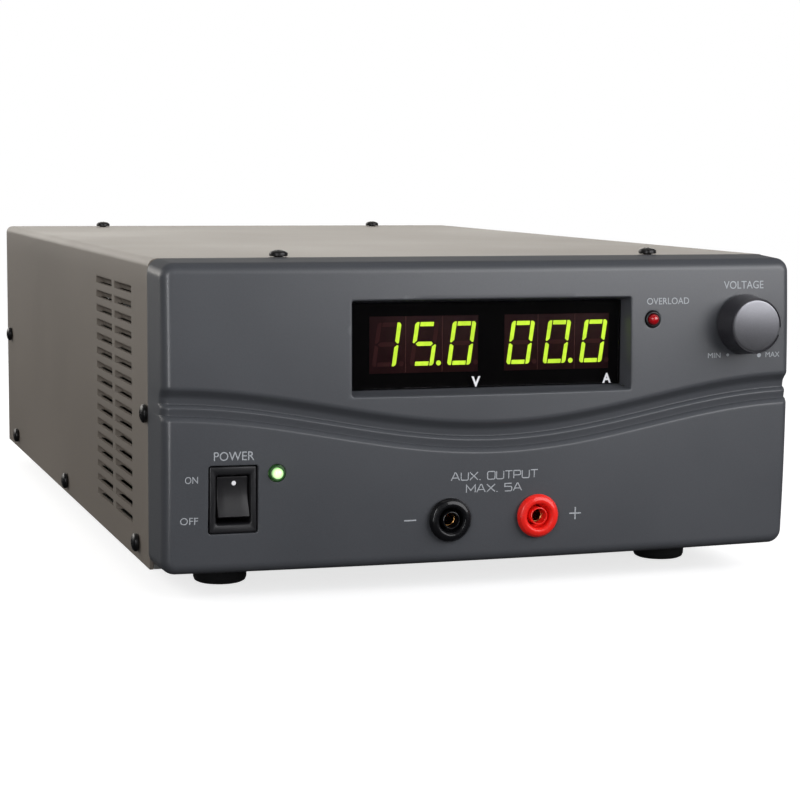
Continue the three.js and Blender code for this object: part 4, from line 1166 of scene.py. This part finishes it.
def make_switch():
    x, z = SWITCH
    f = face(x, z)
    b = box_o("switch_frame", x - 7.65, x + 7.65, f + 0.2, f + 2.4, z - 10.65, z + 10.65)
    bevelled(b, 0.55, 4)
    inner = box_o("i", x - 6.9, x + 6.9, f + 2.0, f + 16, z - 9.6, z + 9.6)
    boolean(b, inner, "UNION")
    ring = []
    for lv, (o, y) in enumerate([(0.75, f - 1), (0.75, f + 0.15), (0.55, f + 0.25), (0.25, f + 0.5), (0.06, f + 0.9), (0.0, f + 1.4), (0.0, f + 13)]):
        ring.append([(px, y, pz) for px, pz, _, _ in [(q[0] + q[2] * o, q[1] + q[3] * o, 0, 0) for q in rrect(5.35, z - 7.65, z + 7.65, 0.5, 4, cx=x)]])
    n = len(ring[0])
    v = [p for rr in ring for p in rr]
    fc = [(i * n + k, i * n + (k + 1) % n, (i + 1) * n + (k + 1) % n, (i + 1) * n + k) for i in range(len(ring) - 1) for k in range(n)]
    fc += [tuple(range(n)), tuple(range(len(ring) * n - 1, (len(ring) - 1) * n - 1, -1))]
    boolean(b, obj_from("o", v, fc))
    for dz in (-5, 5):
        boolean(b, box_o("tab", x - 3.1, x + 3.1, f + 15.5, f + 20.5, z + dz - .4, z + dz + .4), "UNION")
    b.data.materials.clear()
    b.data.materials.append(SWITCHP)
    for q in b.data.polygons:
        q.material_index = 0
    resharp(b, 36)
    place(b, "case", ("switch_body",))

    # rocker: a shallow dished front over a round back
    tilt = math.radians(11)
    piv = (f + 5.2, z)

    def PT(s, h):
        c, t = math.cos(tilt), math.sin(tilt)
        return (piv[0] - (h * c - s * t), piv[1] + s * c + h * t)

    front = [(-6.6, 3.9)]
    for k in range(25):
        s = -6.42 + 12.84 * k / 24
        front.append((s, 3.9 + 1.0 * (abs(s) / 6.42) ** 1.7))
    front.append((6.6, 3.9))
    back = [(6.0, -0.5), (2.8, -3.6), (-2.8, -3.6), (-6.0, -0.5)]
    outline = fillet(front + back, [0.35, 0.3] + [0] * 23 + [0.3, 0.35, .5, 1.0, 1.0, .5], 3, closed=True)
    n = len(outline)
    v, fc = [], []
    cols = [(-5.05, 0.32), (-5.01, 0.17), (-4.9, 0.06), (-4.7, 0.0), (-2.4, 0.0), (0, 0.0), (2.4, 0.0), (4.7, 0.0), (4.9, 0.06), (5.01, 0.17), (5.05, 0.32)]
    for dx, ins in cols:
        for (s, h) in outline:
            # pull the outline in near the ends for a rounded edge; the front is dished a little from side to side
            l = math.hypot(s, h - 0.6) or 1
            s2, h2 = s - s / l * ins, h - (h - 0.6) / l * ins
            y, zz = PT(s2, h2)
            v.append((x + dx, y, zz))
    for i in range(len(cols) - 1):
        for k in range(n):
            j = (k + 1) % n
            fc.append((i * n + k, i * n + j, (i + 1) * n + j, (i + 1) * n + k))
    fc += [tuple(range(n)), tuple(range(len(cols) * n - 1, (len(cols) - 1) * n - 1, -1))]
    r = obj_from("rocker_cap", v, fc, ROCKERP, sharp=40)
    place(r, "rocker", ("power_rocker",))
    # white dot near the top of the rocker
    vs, fs = [], []
    rings = [0.0, 0.44, 0.66, 0.76]
    N = 28
    for q, rr in enumerate(rings):
        for k in range(1 if q == 0 else N):
            a = 2 * math.pi * k / N
            dx, ds = rr * math.cos(a), 4.3 + rr * math.sin(a)
            hh = 3.9 + 1.0 * (ds / 6.42) ** 1.7 + (0.05 if q < 3 else -0.02)
            y, zz = PT(ds, hh)
            vs.append((x + 0.5 + dx, y, zz))
    for k in range(N):
        j = (k + 1) % N
        fs.append((0, 1 + k, 1 + j))
        for q in (0, 1):
            a, b2 = 1 + q * N, 1 + (q + 1) * N
            fs.append((a + k, a + j, b2 + j, b2 + k))
    d = obj_from("rocker_dot", vs, fs, INKW)
    place(d, "rocker")


def make_sockets():
    for sx, tag, mat, slot in ((-1, "negative", BLACKI, "black_insulator"), (1, "positive", REDI, "red_insulator")):
        x, z = sx * JACK_X, JACK_Z
        f = face(x, z)
        w = 4.1
        prof = [(0, f + 19), (5.6, f + 19), (5.6, f - 0.65), (7.2, f - 0.65), (7.2, f - 1.35), (6.45, f - 2.35), (5.4, f - 2.8), (4.7, f - 2.7), (w, f - 2.1),
                (w, f + 1.2), (3.3, f + 1.6), (3.3, f + 13), (0, f + 13)]
        s = lathe(f"socket_{tag}", fillet(prof, [0, .3, .1, .15, .5, .9, 1.2, .6, .5, .3, .3, .2, 0], 5), (x, z), seg=96, mat=mat, sharp=46)
        place(s, "case", (f"aux_socket_{tag}",))
        # insulated post round the contact, and the contact tube a little way down inside it
        t = lathe(f"socket_post_{tag}", fillet([(2.42, f - 2.2), (2.62, f - 2.42), (2.92, f - 2.25), (2.92, f + 12.9), (2.42, f + 12.9)], [.1, .1, .12, .1, .1], 3, closed=True),
                  (x, z), seg=72, mat=mat, closed=True)
        place(t, "case")
        c = lathe(f"contact_{tag}", fillet([(1.9, f + 1.3), (2.2, f + 1.0), (2.2, f + 12.7), (1.9, f + 12.7)], .08, 3, closed=True), (x, z), seg=64, mat=BRASS,
                  closed=True)
        place(c, "case", (f"aux_contact_{tag}",))


# ------------------------------------------------------------------ screws and feet
def pan_head(name, length, R=3.05, h=2.4):
    """Screw along +Z with its bearing face at 0, mm, near the world origin of its own mesh."""
    dome = [(R * math.sin(a), 1.15 + (h - 1.15) * math.cos(a)) for a in [math.pi / 2 * k / 10 for k in range(10, 0, -1)]]
    pts = [(0, -length), (1.1, -length), (1.5, -length + 0.6)]
    # thread
    k = -length + 0.8
    while k < -0.6:
        pts += [(1.5, k), (1.28, k + 0.22)]
        k += 0.44
    pts += [(1.5, -0.3), (1.5, 0.3), (R - 0.2, 0.3), (R, 0.5)] + dome + [(0, h)]
    verts, faces, rings = [], [], []
    seg = 40
    for r, t in pts:
        if r < 1e-6:
            rings.append([len(verts)])
            verts.append((0, 0, t * MM))
        else:
            rings.append(list(range(len(verts), len(verts) + seg)))
            verts += [(r * math.cos(2 * math.pi * q / seg) * MM, r * math.sin(2 * math.pi * q / seg) * MM, t * MM) for q in range(seg)]
    for A, B in zip(rings, rings[1:]):
        for q in range(seg):
            j = (q + 1) % seg
            if len(A) == 1:
                faces.append((A[0], B[q], B[j]))
            elif len(B) == 1:
                faces.append((A[q], A[j], B[0]))
            else:
                faces.append((A[q], A[j], B[j], B[q]))
    o = obj_from(name, verts, faces, mm=False, sharp=34)
    for rot in (0, 90):
        a, b, dpt = 1.75, 0.36, 1.5
        vb = [(-a, -b, h + 1), (a, -b, h + 1), (a, b, h + 1), (-a, b, h + 1), (-a * .45, -b * .8, h - dpt), (a * .45, -b * .8, h - dpt), (a * .45, b * .8, h - dpt), (-a * .45, b * .8, h - dpt)]
        fb = [(0, 1, 2, 3), (7, 6, 5, 4), (0, 4, 5, 1), (1, 5, 6, 2), (2, 6, 7, 3), (3, 7, 4, 0)]
        ca, sa = math.cos(math.radians(rot)), math.sin(math.radians(rot))
        vb = [((x * ca - y * sa) * MM, (x * sa + y * ca) * MM, zz * MM) for x, y, zz in vb]
        boolean(o, obj_from("x", vb, fb, mm=False))
    resharp(o, 34)
    return o


def stamp(src, name, at, axis, spin, mat, body, node):
    """A copy of src with its +Z turned to axis and set at a mm point."""
    me = src.data.copy()
    me.name = name
    q = Vector((0, 0, 1)).rotation_difference(Vector(axis)).to_matrix().to_4x4()
    me.transform(Matrix.Translation(Vector(P(*at))) @ q @ Matrix.Rotation(spin, 4, "Z"))
    me.materials.clear()
    me.materials.append(mat)
    for f in me.polygons:
        f.material_index = 0
    o = bpy.data.objects.new(name, me)
    bpy.context.scene.collection.objects.link(o)
    return place(o, body, (node,))


def make_screws():
    src = pan_head("pan_src", 5.2)
    rnd = random.Random(11)
    for sx, side in ((-1, "left"), (1, "right")):
        stamp(src, f"cover_screw_top_front_{side}", (sx * 65.8, 0.7, H), (0, 0, 1), rnd.uniform(0, 3), SCREWB, "case", f"screw_top_front_{side}")
        stamp(src, f"cover_screw_top_rear_{side}", (sx * 66.2, 320.1, H), (0, 0, 1), rnd.uniform(0, 3), SCREWB, "case", f"screw_top_rear_{side}")
        for tag, y, z in (("front_mid", 0.8, 50.5), ("front_low", 16.5, 5.7), ("mid_low", 162, 5.0), ("rear_low", 301, 5.7), ("rear_mid", 319.2, 51)):
            stamp(src, f"cover_screw_{side}_{tag}", (sx * W, y, z), (sx, 0, 0), rnd.uniform(0, 3), SCREWB, "case", f"screw_{side}_{tag}")
    bpy.data.objects.remove(src)
    src = pan_head("fan_src", 12, R=3.3)
    for sx, side in ((-1, "left"), (1, "right")):
        for sz, lvl in ((-1, "low"), (1, "high")):
            stamp(src, f"guard_screw_{lvl}_{side}", (FAN[0] + sx * 35.75, REAR + GAP + 1.7, FAN[1] + sz * 35.75), (0, 1, 0), rnd.uniform(0, 3), SCREWB, "case",
                  f"fan_screw_{lvl}_{side}")
    bpy.data.objects.remove(src)


def make_feet():
    for sx, side in ((-1, "left"), (1, "right")):
        for tag, y in (("front", 19.5), ("rear", 313.0)):
            pts = [(2.2, -9.0 + 2.2), (2.2, -9.2), (7.6, -9.2), (8.6, -8.7), (9.0, -7.6), (9.3, -0.3), (2.3, -0.3), (2.3, 1.9), (3.2, 1.9), (0.6, 4.3), (0, 4.3)]
            pts = [(0, -6.8)] + pts
            o = lathe(f"rubber_foot_{tag}_{side}", fillet(pts, [0, .2, .3, .4, .7, .5, .5, .2, .2, .2, .2, 0], 4), (sx * 81.2, y), axis="z", seg=72, mat=RUBBER, sharp=40)
            place(o, "case", (f"foot_{tag}_{side}",))


# ------------------------------------------------------------------ rear panel
def make_rear():
    fx, fz = FAN
    yg = REAR + GAP
    wires = []
    for R in (19, 28.3, 37.6):
        wires.append(tube("r", [(fx + R * math.cos(a), yg + 2.5, fz + R * math.sin(a)) for a in [2 * math.pi * k / 96 for k in range(96)]], 0.8, 12, True))
    for a in (45, 135, 225, 315):
        c, s = math.cos(math.radians(a)), math.sin(math.radians(a))
        path = [(fx + r * c, yg + y, fz + r * s) for r, y in ((10.2, 2.5), (20, 2.5), (30, 2.5), (40, 2.5), (44.0, 2.3), (46.0, 1.7), (47.2, 0.9))]
        wires.append(tube("s", path, 0.8, 12))
    wires.append(lathe("hub", fillet([(9.6, yg + 1.7), (11.2, yg + 1.7), (11.2, yg + 3.3), (9.6, yg + 3.3)], .4, 4, closed=True), FAN, seg=72, closed=True))
    for sx in (-1, 1):
        for sz in (-1, 1):
            wires.append(lathe("eye", fillet([(2.2, yg), (4.0, yg), (4.0, yg + 1.7), (2.2, yg + 1.7)], .35, 4, closed=True), (fx + sx * 35.75, fz + sz * 35.75), seg=40, closed=True))
    g = join("guard_wire", wires, CHROME)
    resharp(g)
    place(g, "case", ("fan_guard",))
    refine("fan_frame", "fan_housing", FANP, 0.35, 2)
    refine("fan_rotor", "fan_blades", FANP, 0.2, 2, body="fan_rotor")
    refine("mains_inlet", "inlet_body", INLETP, 0.3, 3)
    # fuse holder and cap
    x, z = FUSE
    y = yg
    o = lathe("fuse_body", fillet([(4.1, y + 2.0), (4.1, REAR - 26), (0, REAR - 26), (0, REAR - 34), (4.6, REAR - 34), (4.6, REAR - 22), (6.1, REAR - 22), (6.1, y), (8.2, y), (8.2, y + 1.6),
                                   (7.8, y + 2.0)], [0, 0, 0, 0, .4, .3, .2, 0, .2, .3, .2], 4), FUSE, seg=72, mat=INLETP, closed=True)
    place(o, "case", ("fuse_holder",))
    cap = lathe("fuse_knob", fillet([(0, REAR - 20), (3.7, REAR - 20), (3.7, y + 2.3), (6.9, y + 2.3), (6.7, y + 8.4), (6.1, y + 9.1), (0, y + 9.1)], [0, .3, .1, .4, .5, .4, 0], 4), FUSE, seg=72)
    boolean(cap, box_o("s", x - 5.2, x + 5.2, y + 8.0, y + 12, z - 0.7, z + 0.7))
    for k in range(18):       # grip flutes
        a = 2 * math.pi * k / 18
        boolean(cap, lathe("f", [(0, y + 3.2), (0.45, y + 3.2), (0.45, y + 10), (0, y + 10)], (x + 7.0 * math.cos(a), z + 7.0 * math.sin(a)), seg=10))
    cap.data.materials.clear()
    cap.data.materials.append(INLETP)
    for f in cap.data.polygons:
        f.material_index = 0
    resharp(cap)
    place(cap, "fuse_cap", ("fuse_cap",))
    for tx, tag, mat, slot in ((TERM_X[0], "negative", BLACKI, "black_insulator"), (TERM_X[1], "positive", REDI, "red_insulator")):
        c = (tx, TERM_Z)
        b = lathe(f"post_base_{tag}", fillet([(4.3, REAR - 9), (6.0, REAR - 9), (6.0, y), (13, y), (13, y + 4.6), (12.2, y + 5.4), (4.3, y + 5.4)], [.2, .3, 0, .3, .4, .4, .2], 4, closed=True), c, seg=96,
                  mat=mat, closed=True)
        place(b, "case", (f"terminal_base_{tag}",))
        st = [(0, REAR - 24), (3.6, REAR - 24), (4.0, REAR - 23.6), (4.0, y + 5.7), (8.0, y + 5.7), (8.0, y + 8.2), (4.0, y + 8.2)]
        k = y + 11.0
        while k < y + 23.2:
            st += [(4.0, k), (3.72, k + 0.35)]
            k += 0.7
        st += [(4.0, y + 23.6), (3.5, y + 24.1), (0, y + 24.1)]
        s = lathe(f"post_stud_{tag}", st, c, seg=64, mat=BRASS)
        place(s, "case", (f"terminal_stud_{tag}",))
        wsh = lathe(f"post_washer_{tag}", fillet([(4.3, y + 8.5), (8.6, y + 8.5), (8.6, y + 10.1), (4.3, y + 10.1)], .25, 3, closed=True), c, seg=64, mat=PLATED, closed=True)
        place(wsh, f"washer_{tag}", (f"terminal_washer_{tag}",))
        # fluted nut
        prof = fillet([(9.0, y + 10.4), (9.0, y + 12.0), (11.2, y + 12.4), (11.2, y + 24.4), (10.2, y + 25.6), (0, y + 25.9)], [.3, .3, .4, .6, .6, 0], 4)
        prof = [(4.3, y + 24.6), (4.3, y + 10.4)] + prof
        seg = 180
        verts, faces, rings = [], [], []
        for r, t in [(0, y + 24.6)] + prof:
            if r < 1e-6:
                rings.append([len(verts)])
                verts.append((c[0], t, c[1]))
                continue
            row = []
            for q in range(seg):
                a = 2 * math.pi * q / seg
                rr = r
                if r > 8.0 and t > y + 12.05:
                    best = r
                    for u in range(6):
                        ph = a - (u * math.pi / 3 + math.pi / 6)
                        sn = 13.3 * math.sin(ph)
                        if abs(sn) < 3.6 and math.cos(ph) > 0:
                            best = min(best, 13.3 * math.cos(ph) - math.sqrt(3.6 ** 2 - sn ** 2))
                    rr = best
                row.append(len(verts))
                verts.append((c[0] + rr * math.cos(a), t, c[1] + rr * math.sin(a)))
            rings.append(row)
        for A, B in zip(rings, rings[1:]):
            for q in range(seg):
                j = (q + 1) % seg
                if len(A) == 1:
                    faces.append((A[0], B[q], B[j]))
                elif len(B) == 1:
                    faces.append((A[q], A[j], B[0]))
                else:
                    faces.append((A[q], A[j], B[j], B[q]))
        nut = obj_from(f"post_nut_{tag}", verts, faces, mat, sharp=40)
        place(nut, f"nut_{tag}", (f"terminal_nut_{tag}",))


def make_inside():
    refine("chassis", "chassis_sheet", ZINC, 0.25, 2, sharp=10.0)
    for node, name, mat, w, slot in (("display_board", "display_pcb", BOARD, .15, "circuit_board"), ("main_board", "power_pcb", BOARD, .15, "circuit_board"),
                                     ("voltage_pot", "control_body", PLATED, .2, "plated_steel"), ("pot_nut", "control_nut", PLATED, .2, "plated_steel"),
                                     ("heatsink", "fin_block", ALU, .25, "heatsink_aluminium"), ("power_transformer", "wound_core", CORE, .5, "transformer_core"),
                                     ("bulk_capacitor", "storage_can", SLEEVE, .4, "capacitor_sleeve"), ("output_choke", "ring_choke", COPPER, .5, "copper_winding")):
        refine(node, name, mat, w, 2)


make_bezel()
make_cover()
make_text()
make_display()
make_led("power_led", LED_P, GREEN, -15.0, "lamp_power", COLLAR_PAINTED_GLOW)
make_led("overload_led", LED_O, RED, LENS_Y + 2.0 + GAP + 8 + GAP - GAP, "lamp_overload")
make_knob()
make_switch()
make_sockets()
make_screws()
make_feet()
make_rear()
make_inside()

# ------------------------------------------------------------------ camera
cam = bpy.data.objects.new("camera", bpy.data.cameras.new("camera"))
bpy.context.scene.collection.objects.link(cam)
yaw, pitch, roll = 0.3177427, 0.112574, 0.0073428
fwd0 = Vector((math.sin(yaw), math.cos(yaw), 0))
right = Vector((math.cos(yaw), -math.sin(yaw), 0))
fwd = fwd0 * math.cos(pitch) + Vector((0, 0, -math.sin(pitch)))
up = fwd0 * math.sin(pitch) + Vector((0, 0, math.cos(pitch)))
r2 = right * math.cos(roll) + up * math.sin(roll)
u2 = -right * math.sin(roll) + up * math.cos(roll)
cam.matrix_world = Matrix.Translation((-0.240889, -0.821648, 0.140234)) @ Matrix((r2, u2, -fwd)).transposed().to_4x4()
cam.data.lens, cam.data.sensor_width, cam.data.sensor_fit = 94.057, 36.0, "HORIZONTAL"
cam.data.clip_start, cam.data.clip_end = 0.01, 60
bpy.context.scene.camera = cam

# ------------------------------------------------------------------ floor, world, lights
def floor():
    n, R = 96, 1.6
    vs, fs = [(0, 0, 0)], []
    radii = [0.2, 0.4, 0.6, 0.8, 1.0, 1.2, 1.4, R]
    for r in radii:
        vs += [(r * math.cos(2 * math.pi * k / n), r * math.sin(2 * math.pi * k / n), 0) for k in range(n)]
    for k in range(n):
        fs.append((0, 1 + k, 1 + (k + 1) % n))
        for q in range(len(radii) - 1):
            a, b = 1 + q * n, 1 + (q + 1) * n
            fs.append((a + k, b + k, b + (k + 1) % n, a + (k + 1) % n))
    o = obj_from("studio_floor", vs, fs, mm=False)
    T = Tree("floor_paper")
    co = T.coords()
    ln = T.n("ShaderNodeVectorMath", operation="LENGTH")
    T.l(co, ln.inputs[0])
    fade = T.n("ShaderNodeMapRange", interpolation_type="SMOOTHSTEP")
    for k, v in zip(("From Min", "From Max", "To Min", "To Max"), (0.30, 0.85, 0.0, 1.0)):
        fade.inputs[k].default_value = v
    T.l(ln.outputs["Value"], fade.inputs["Value"])
    # translucent white table, lit a little from below
    d = T.n("ShaderNodeBsdfDiffuse")
    T.l(T.shade((0.62, 0.62, 0.62), T.remap(T.noise(co, 5, 2.0), .3, .7, .985, 1.015)), d.inputs["Color"])
    em = T.n("ShaderNodeEmission")
    em.inputs["Strength"].default_value = 0.74
    ad = T.n("ShaderNodeAddShader")
    T.l(d.outputs[0], ad.inputs[0])
    T.l(em.outputs[0], ad.inputs[1])
    tr = T.n("ShaderNodeBsdfTransparent")
    mx = T.n("ShaderNodeMixShader")
    T.l(fade.outputs[0], mx.inputs[0])
    T.l(ad.outputs[0], mx.inputs[1])
    T.l(tr.outputs[0], mx.inputs[2])
    T.l(mx.outputs[0], T.out.inputs["Surface"])
    o.data.materials.append(T.m)
    o.visible_diffuse = o.visible_glossy = False      # no glow from the table on the object


floor()
world = bpy.data.worlds.new("studio")
bpy.context.scene.world = world
world.use_nodes = True
wt = world.node_tree
wt.nodes.clear()
wo = wt.nodes.new("ShaderNodeOutputWorld")
lp = wt.nodes.new("ShaderNodeLightPath")
bg1 = wt.nodes.new("ShaderNodeBackground")
bg1.inputs[0].default_value = (0.93, 0.95, 1.0, 1)
wtc = wt.nodes.new("ShaderNodeTexCoord")
wsp = wt.nodes.new("ShaderNodeSeparateXYZ")
wmr = wt.nodes.new("ShaderNodeMapRange")
wmr.interpolation_type = "SMOOTHSTEP"
for k, v in zip(("From Min", "From Max", "To Min", "To Max"), (-0.35, 0.30, 0.03, 0.24)):
    wmr.inputs[k].default_value = v
wt.links.new(wtc.outputs["Generated"], wsp.inputs[0])
wt.links.new(wsp.outputs[2], wmr.inputs["Value"])
wfl = wt.nodes.new("ShaderNodeMapRange")
wfl.interpolation_type = "SMOOTHSTEP"
for k, v in zip(("From Min", "From Max", "To Min", "To Max"), (0.45, 0.95, 1.0, 0.15)):
    wfl.inputs[k].default_value = v
wml = wt.nodes.new("ShaderNodeMath")
wml.operation = "MULTIPLY"
wt.links.new(wsp.outputs[2], wfl.inputs["Value"])
wt.links.new(wmr.outputs[0], wml.inputs[0])
wt.links.new(wfl.outputs[0], wml.inputs[1])
wt.links.new(wml.outputs[0], bg1.inputs[1])
bg2 = wt.nodes.new("ShaderNodeBackground")
bg2.inputs[0].default_value = (1, 1, 1, 1)
bg2.inputs[1].default_value = 1.0
wm = wt.nodes.new("ShaderNodeMixShader")
wt.links.new(lp.outputs["Is Camera Ray"], wm.inputs[0])
wt.links.new(bg1.outputs[0], wm.inputs[1])
wt.links.new(bg2.outputs[0], wm.inputs[2])
wt.links.new(wm.outputs[0], wo.inputs[0])


def area(name, at, target, sx, sy, power, color=(1, 1, 1)):
    l = bpy.data.lights.new(name, "AREA")
    l.shape, l.size, l.size_y, l.energy, l.color = "RECTANGLE", sx, sy, power, color
    o = bpy.data.objects.new(name, l)
    bpy.context.scene.collection.objects.link(o)
    o.location = at
    o.rotation_mode = "QUATERNION"
    o.rotation_quaternion = (Vector(target) - Vector(at)).to_track_quat("-Z", "Y")
    return o


area("soft_top", (0.1, 0.30, 1.5), (0, 0, 0.05), 1.8, 1.4, 5, (1.0, 0.97, 0.93))
area("soft_back", (-0.35, 2.1, 0.75), (0, 0, 0.10), 4.2, 1.2, 27.5, (1.0, 0.96, 0.885))
area("soft_side", (-1.45, 1.15, 0.90), (-0.1, 0.10, 0.08), 1.0, 0.8, 12, (1.0, 0.975, 0.945))
area("soft_right", (0.68, -1.00, 0.52), (0.04, -0.18, 0.09), 1.1, 0.8, 11.0, (0.98, 0.98, 1.0))
area("soft_left", (-1.1, -1.25, 0.8), (0, -0.15, 0.06), 0.15, 0.28, 2.1, (1.0, 0.98, 0.95))
area("soft_strip", (-0.92, -1.50, 0.30), (0, -0.15, 0.06), 0.20, 1.2, 8.0, (0.98, 0.98, 1.0))

sc = bpy.context.scene
sc.view_settings.view_transform = "Standard"
sc.view_settings.look = "None"
sc.view_settings.exposure = 0.0
sc.view_settings.gamma = 1.0
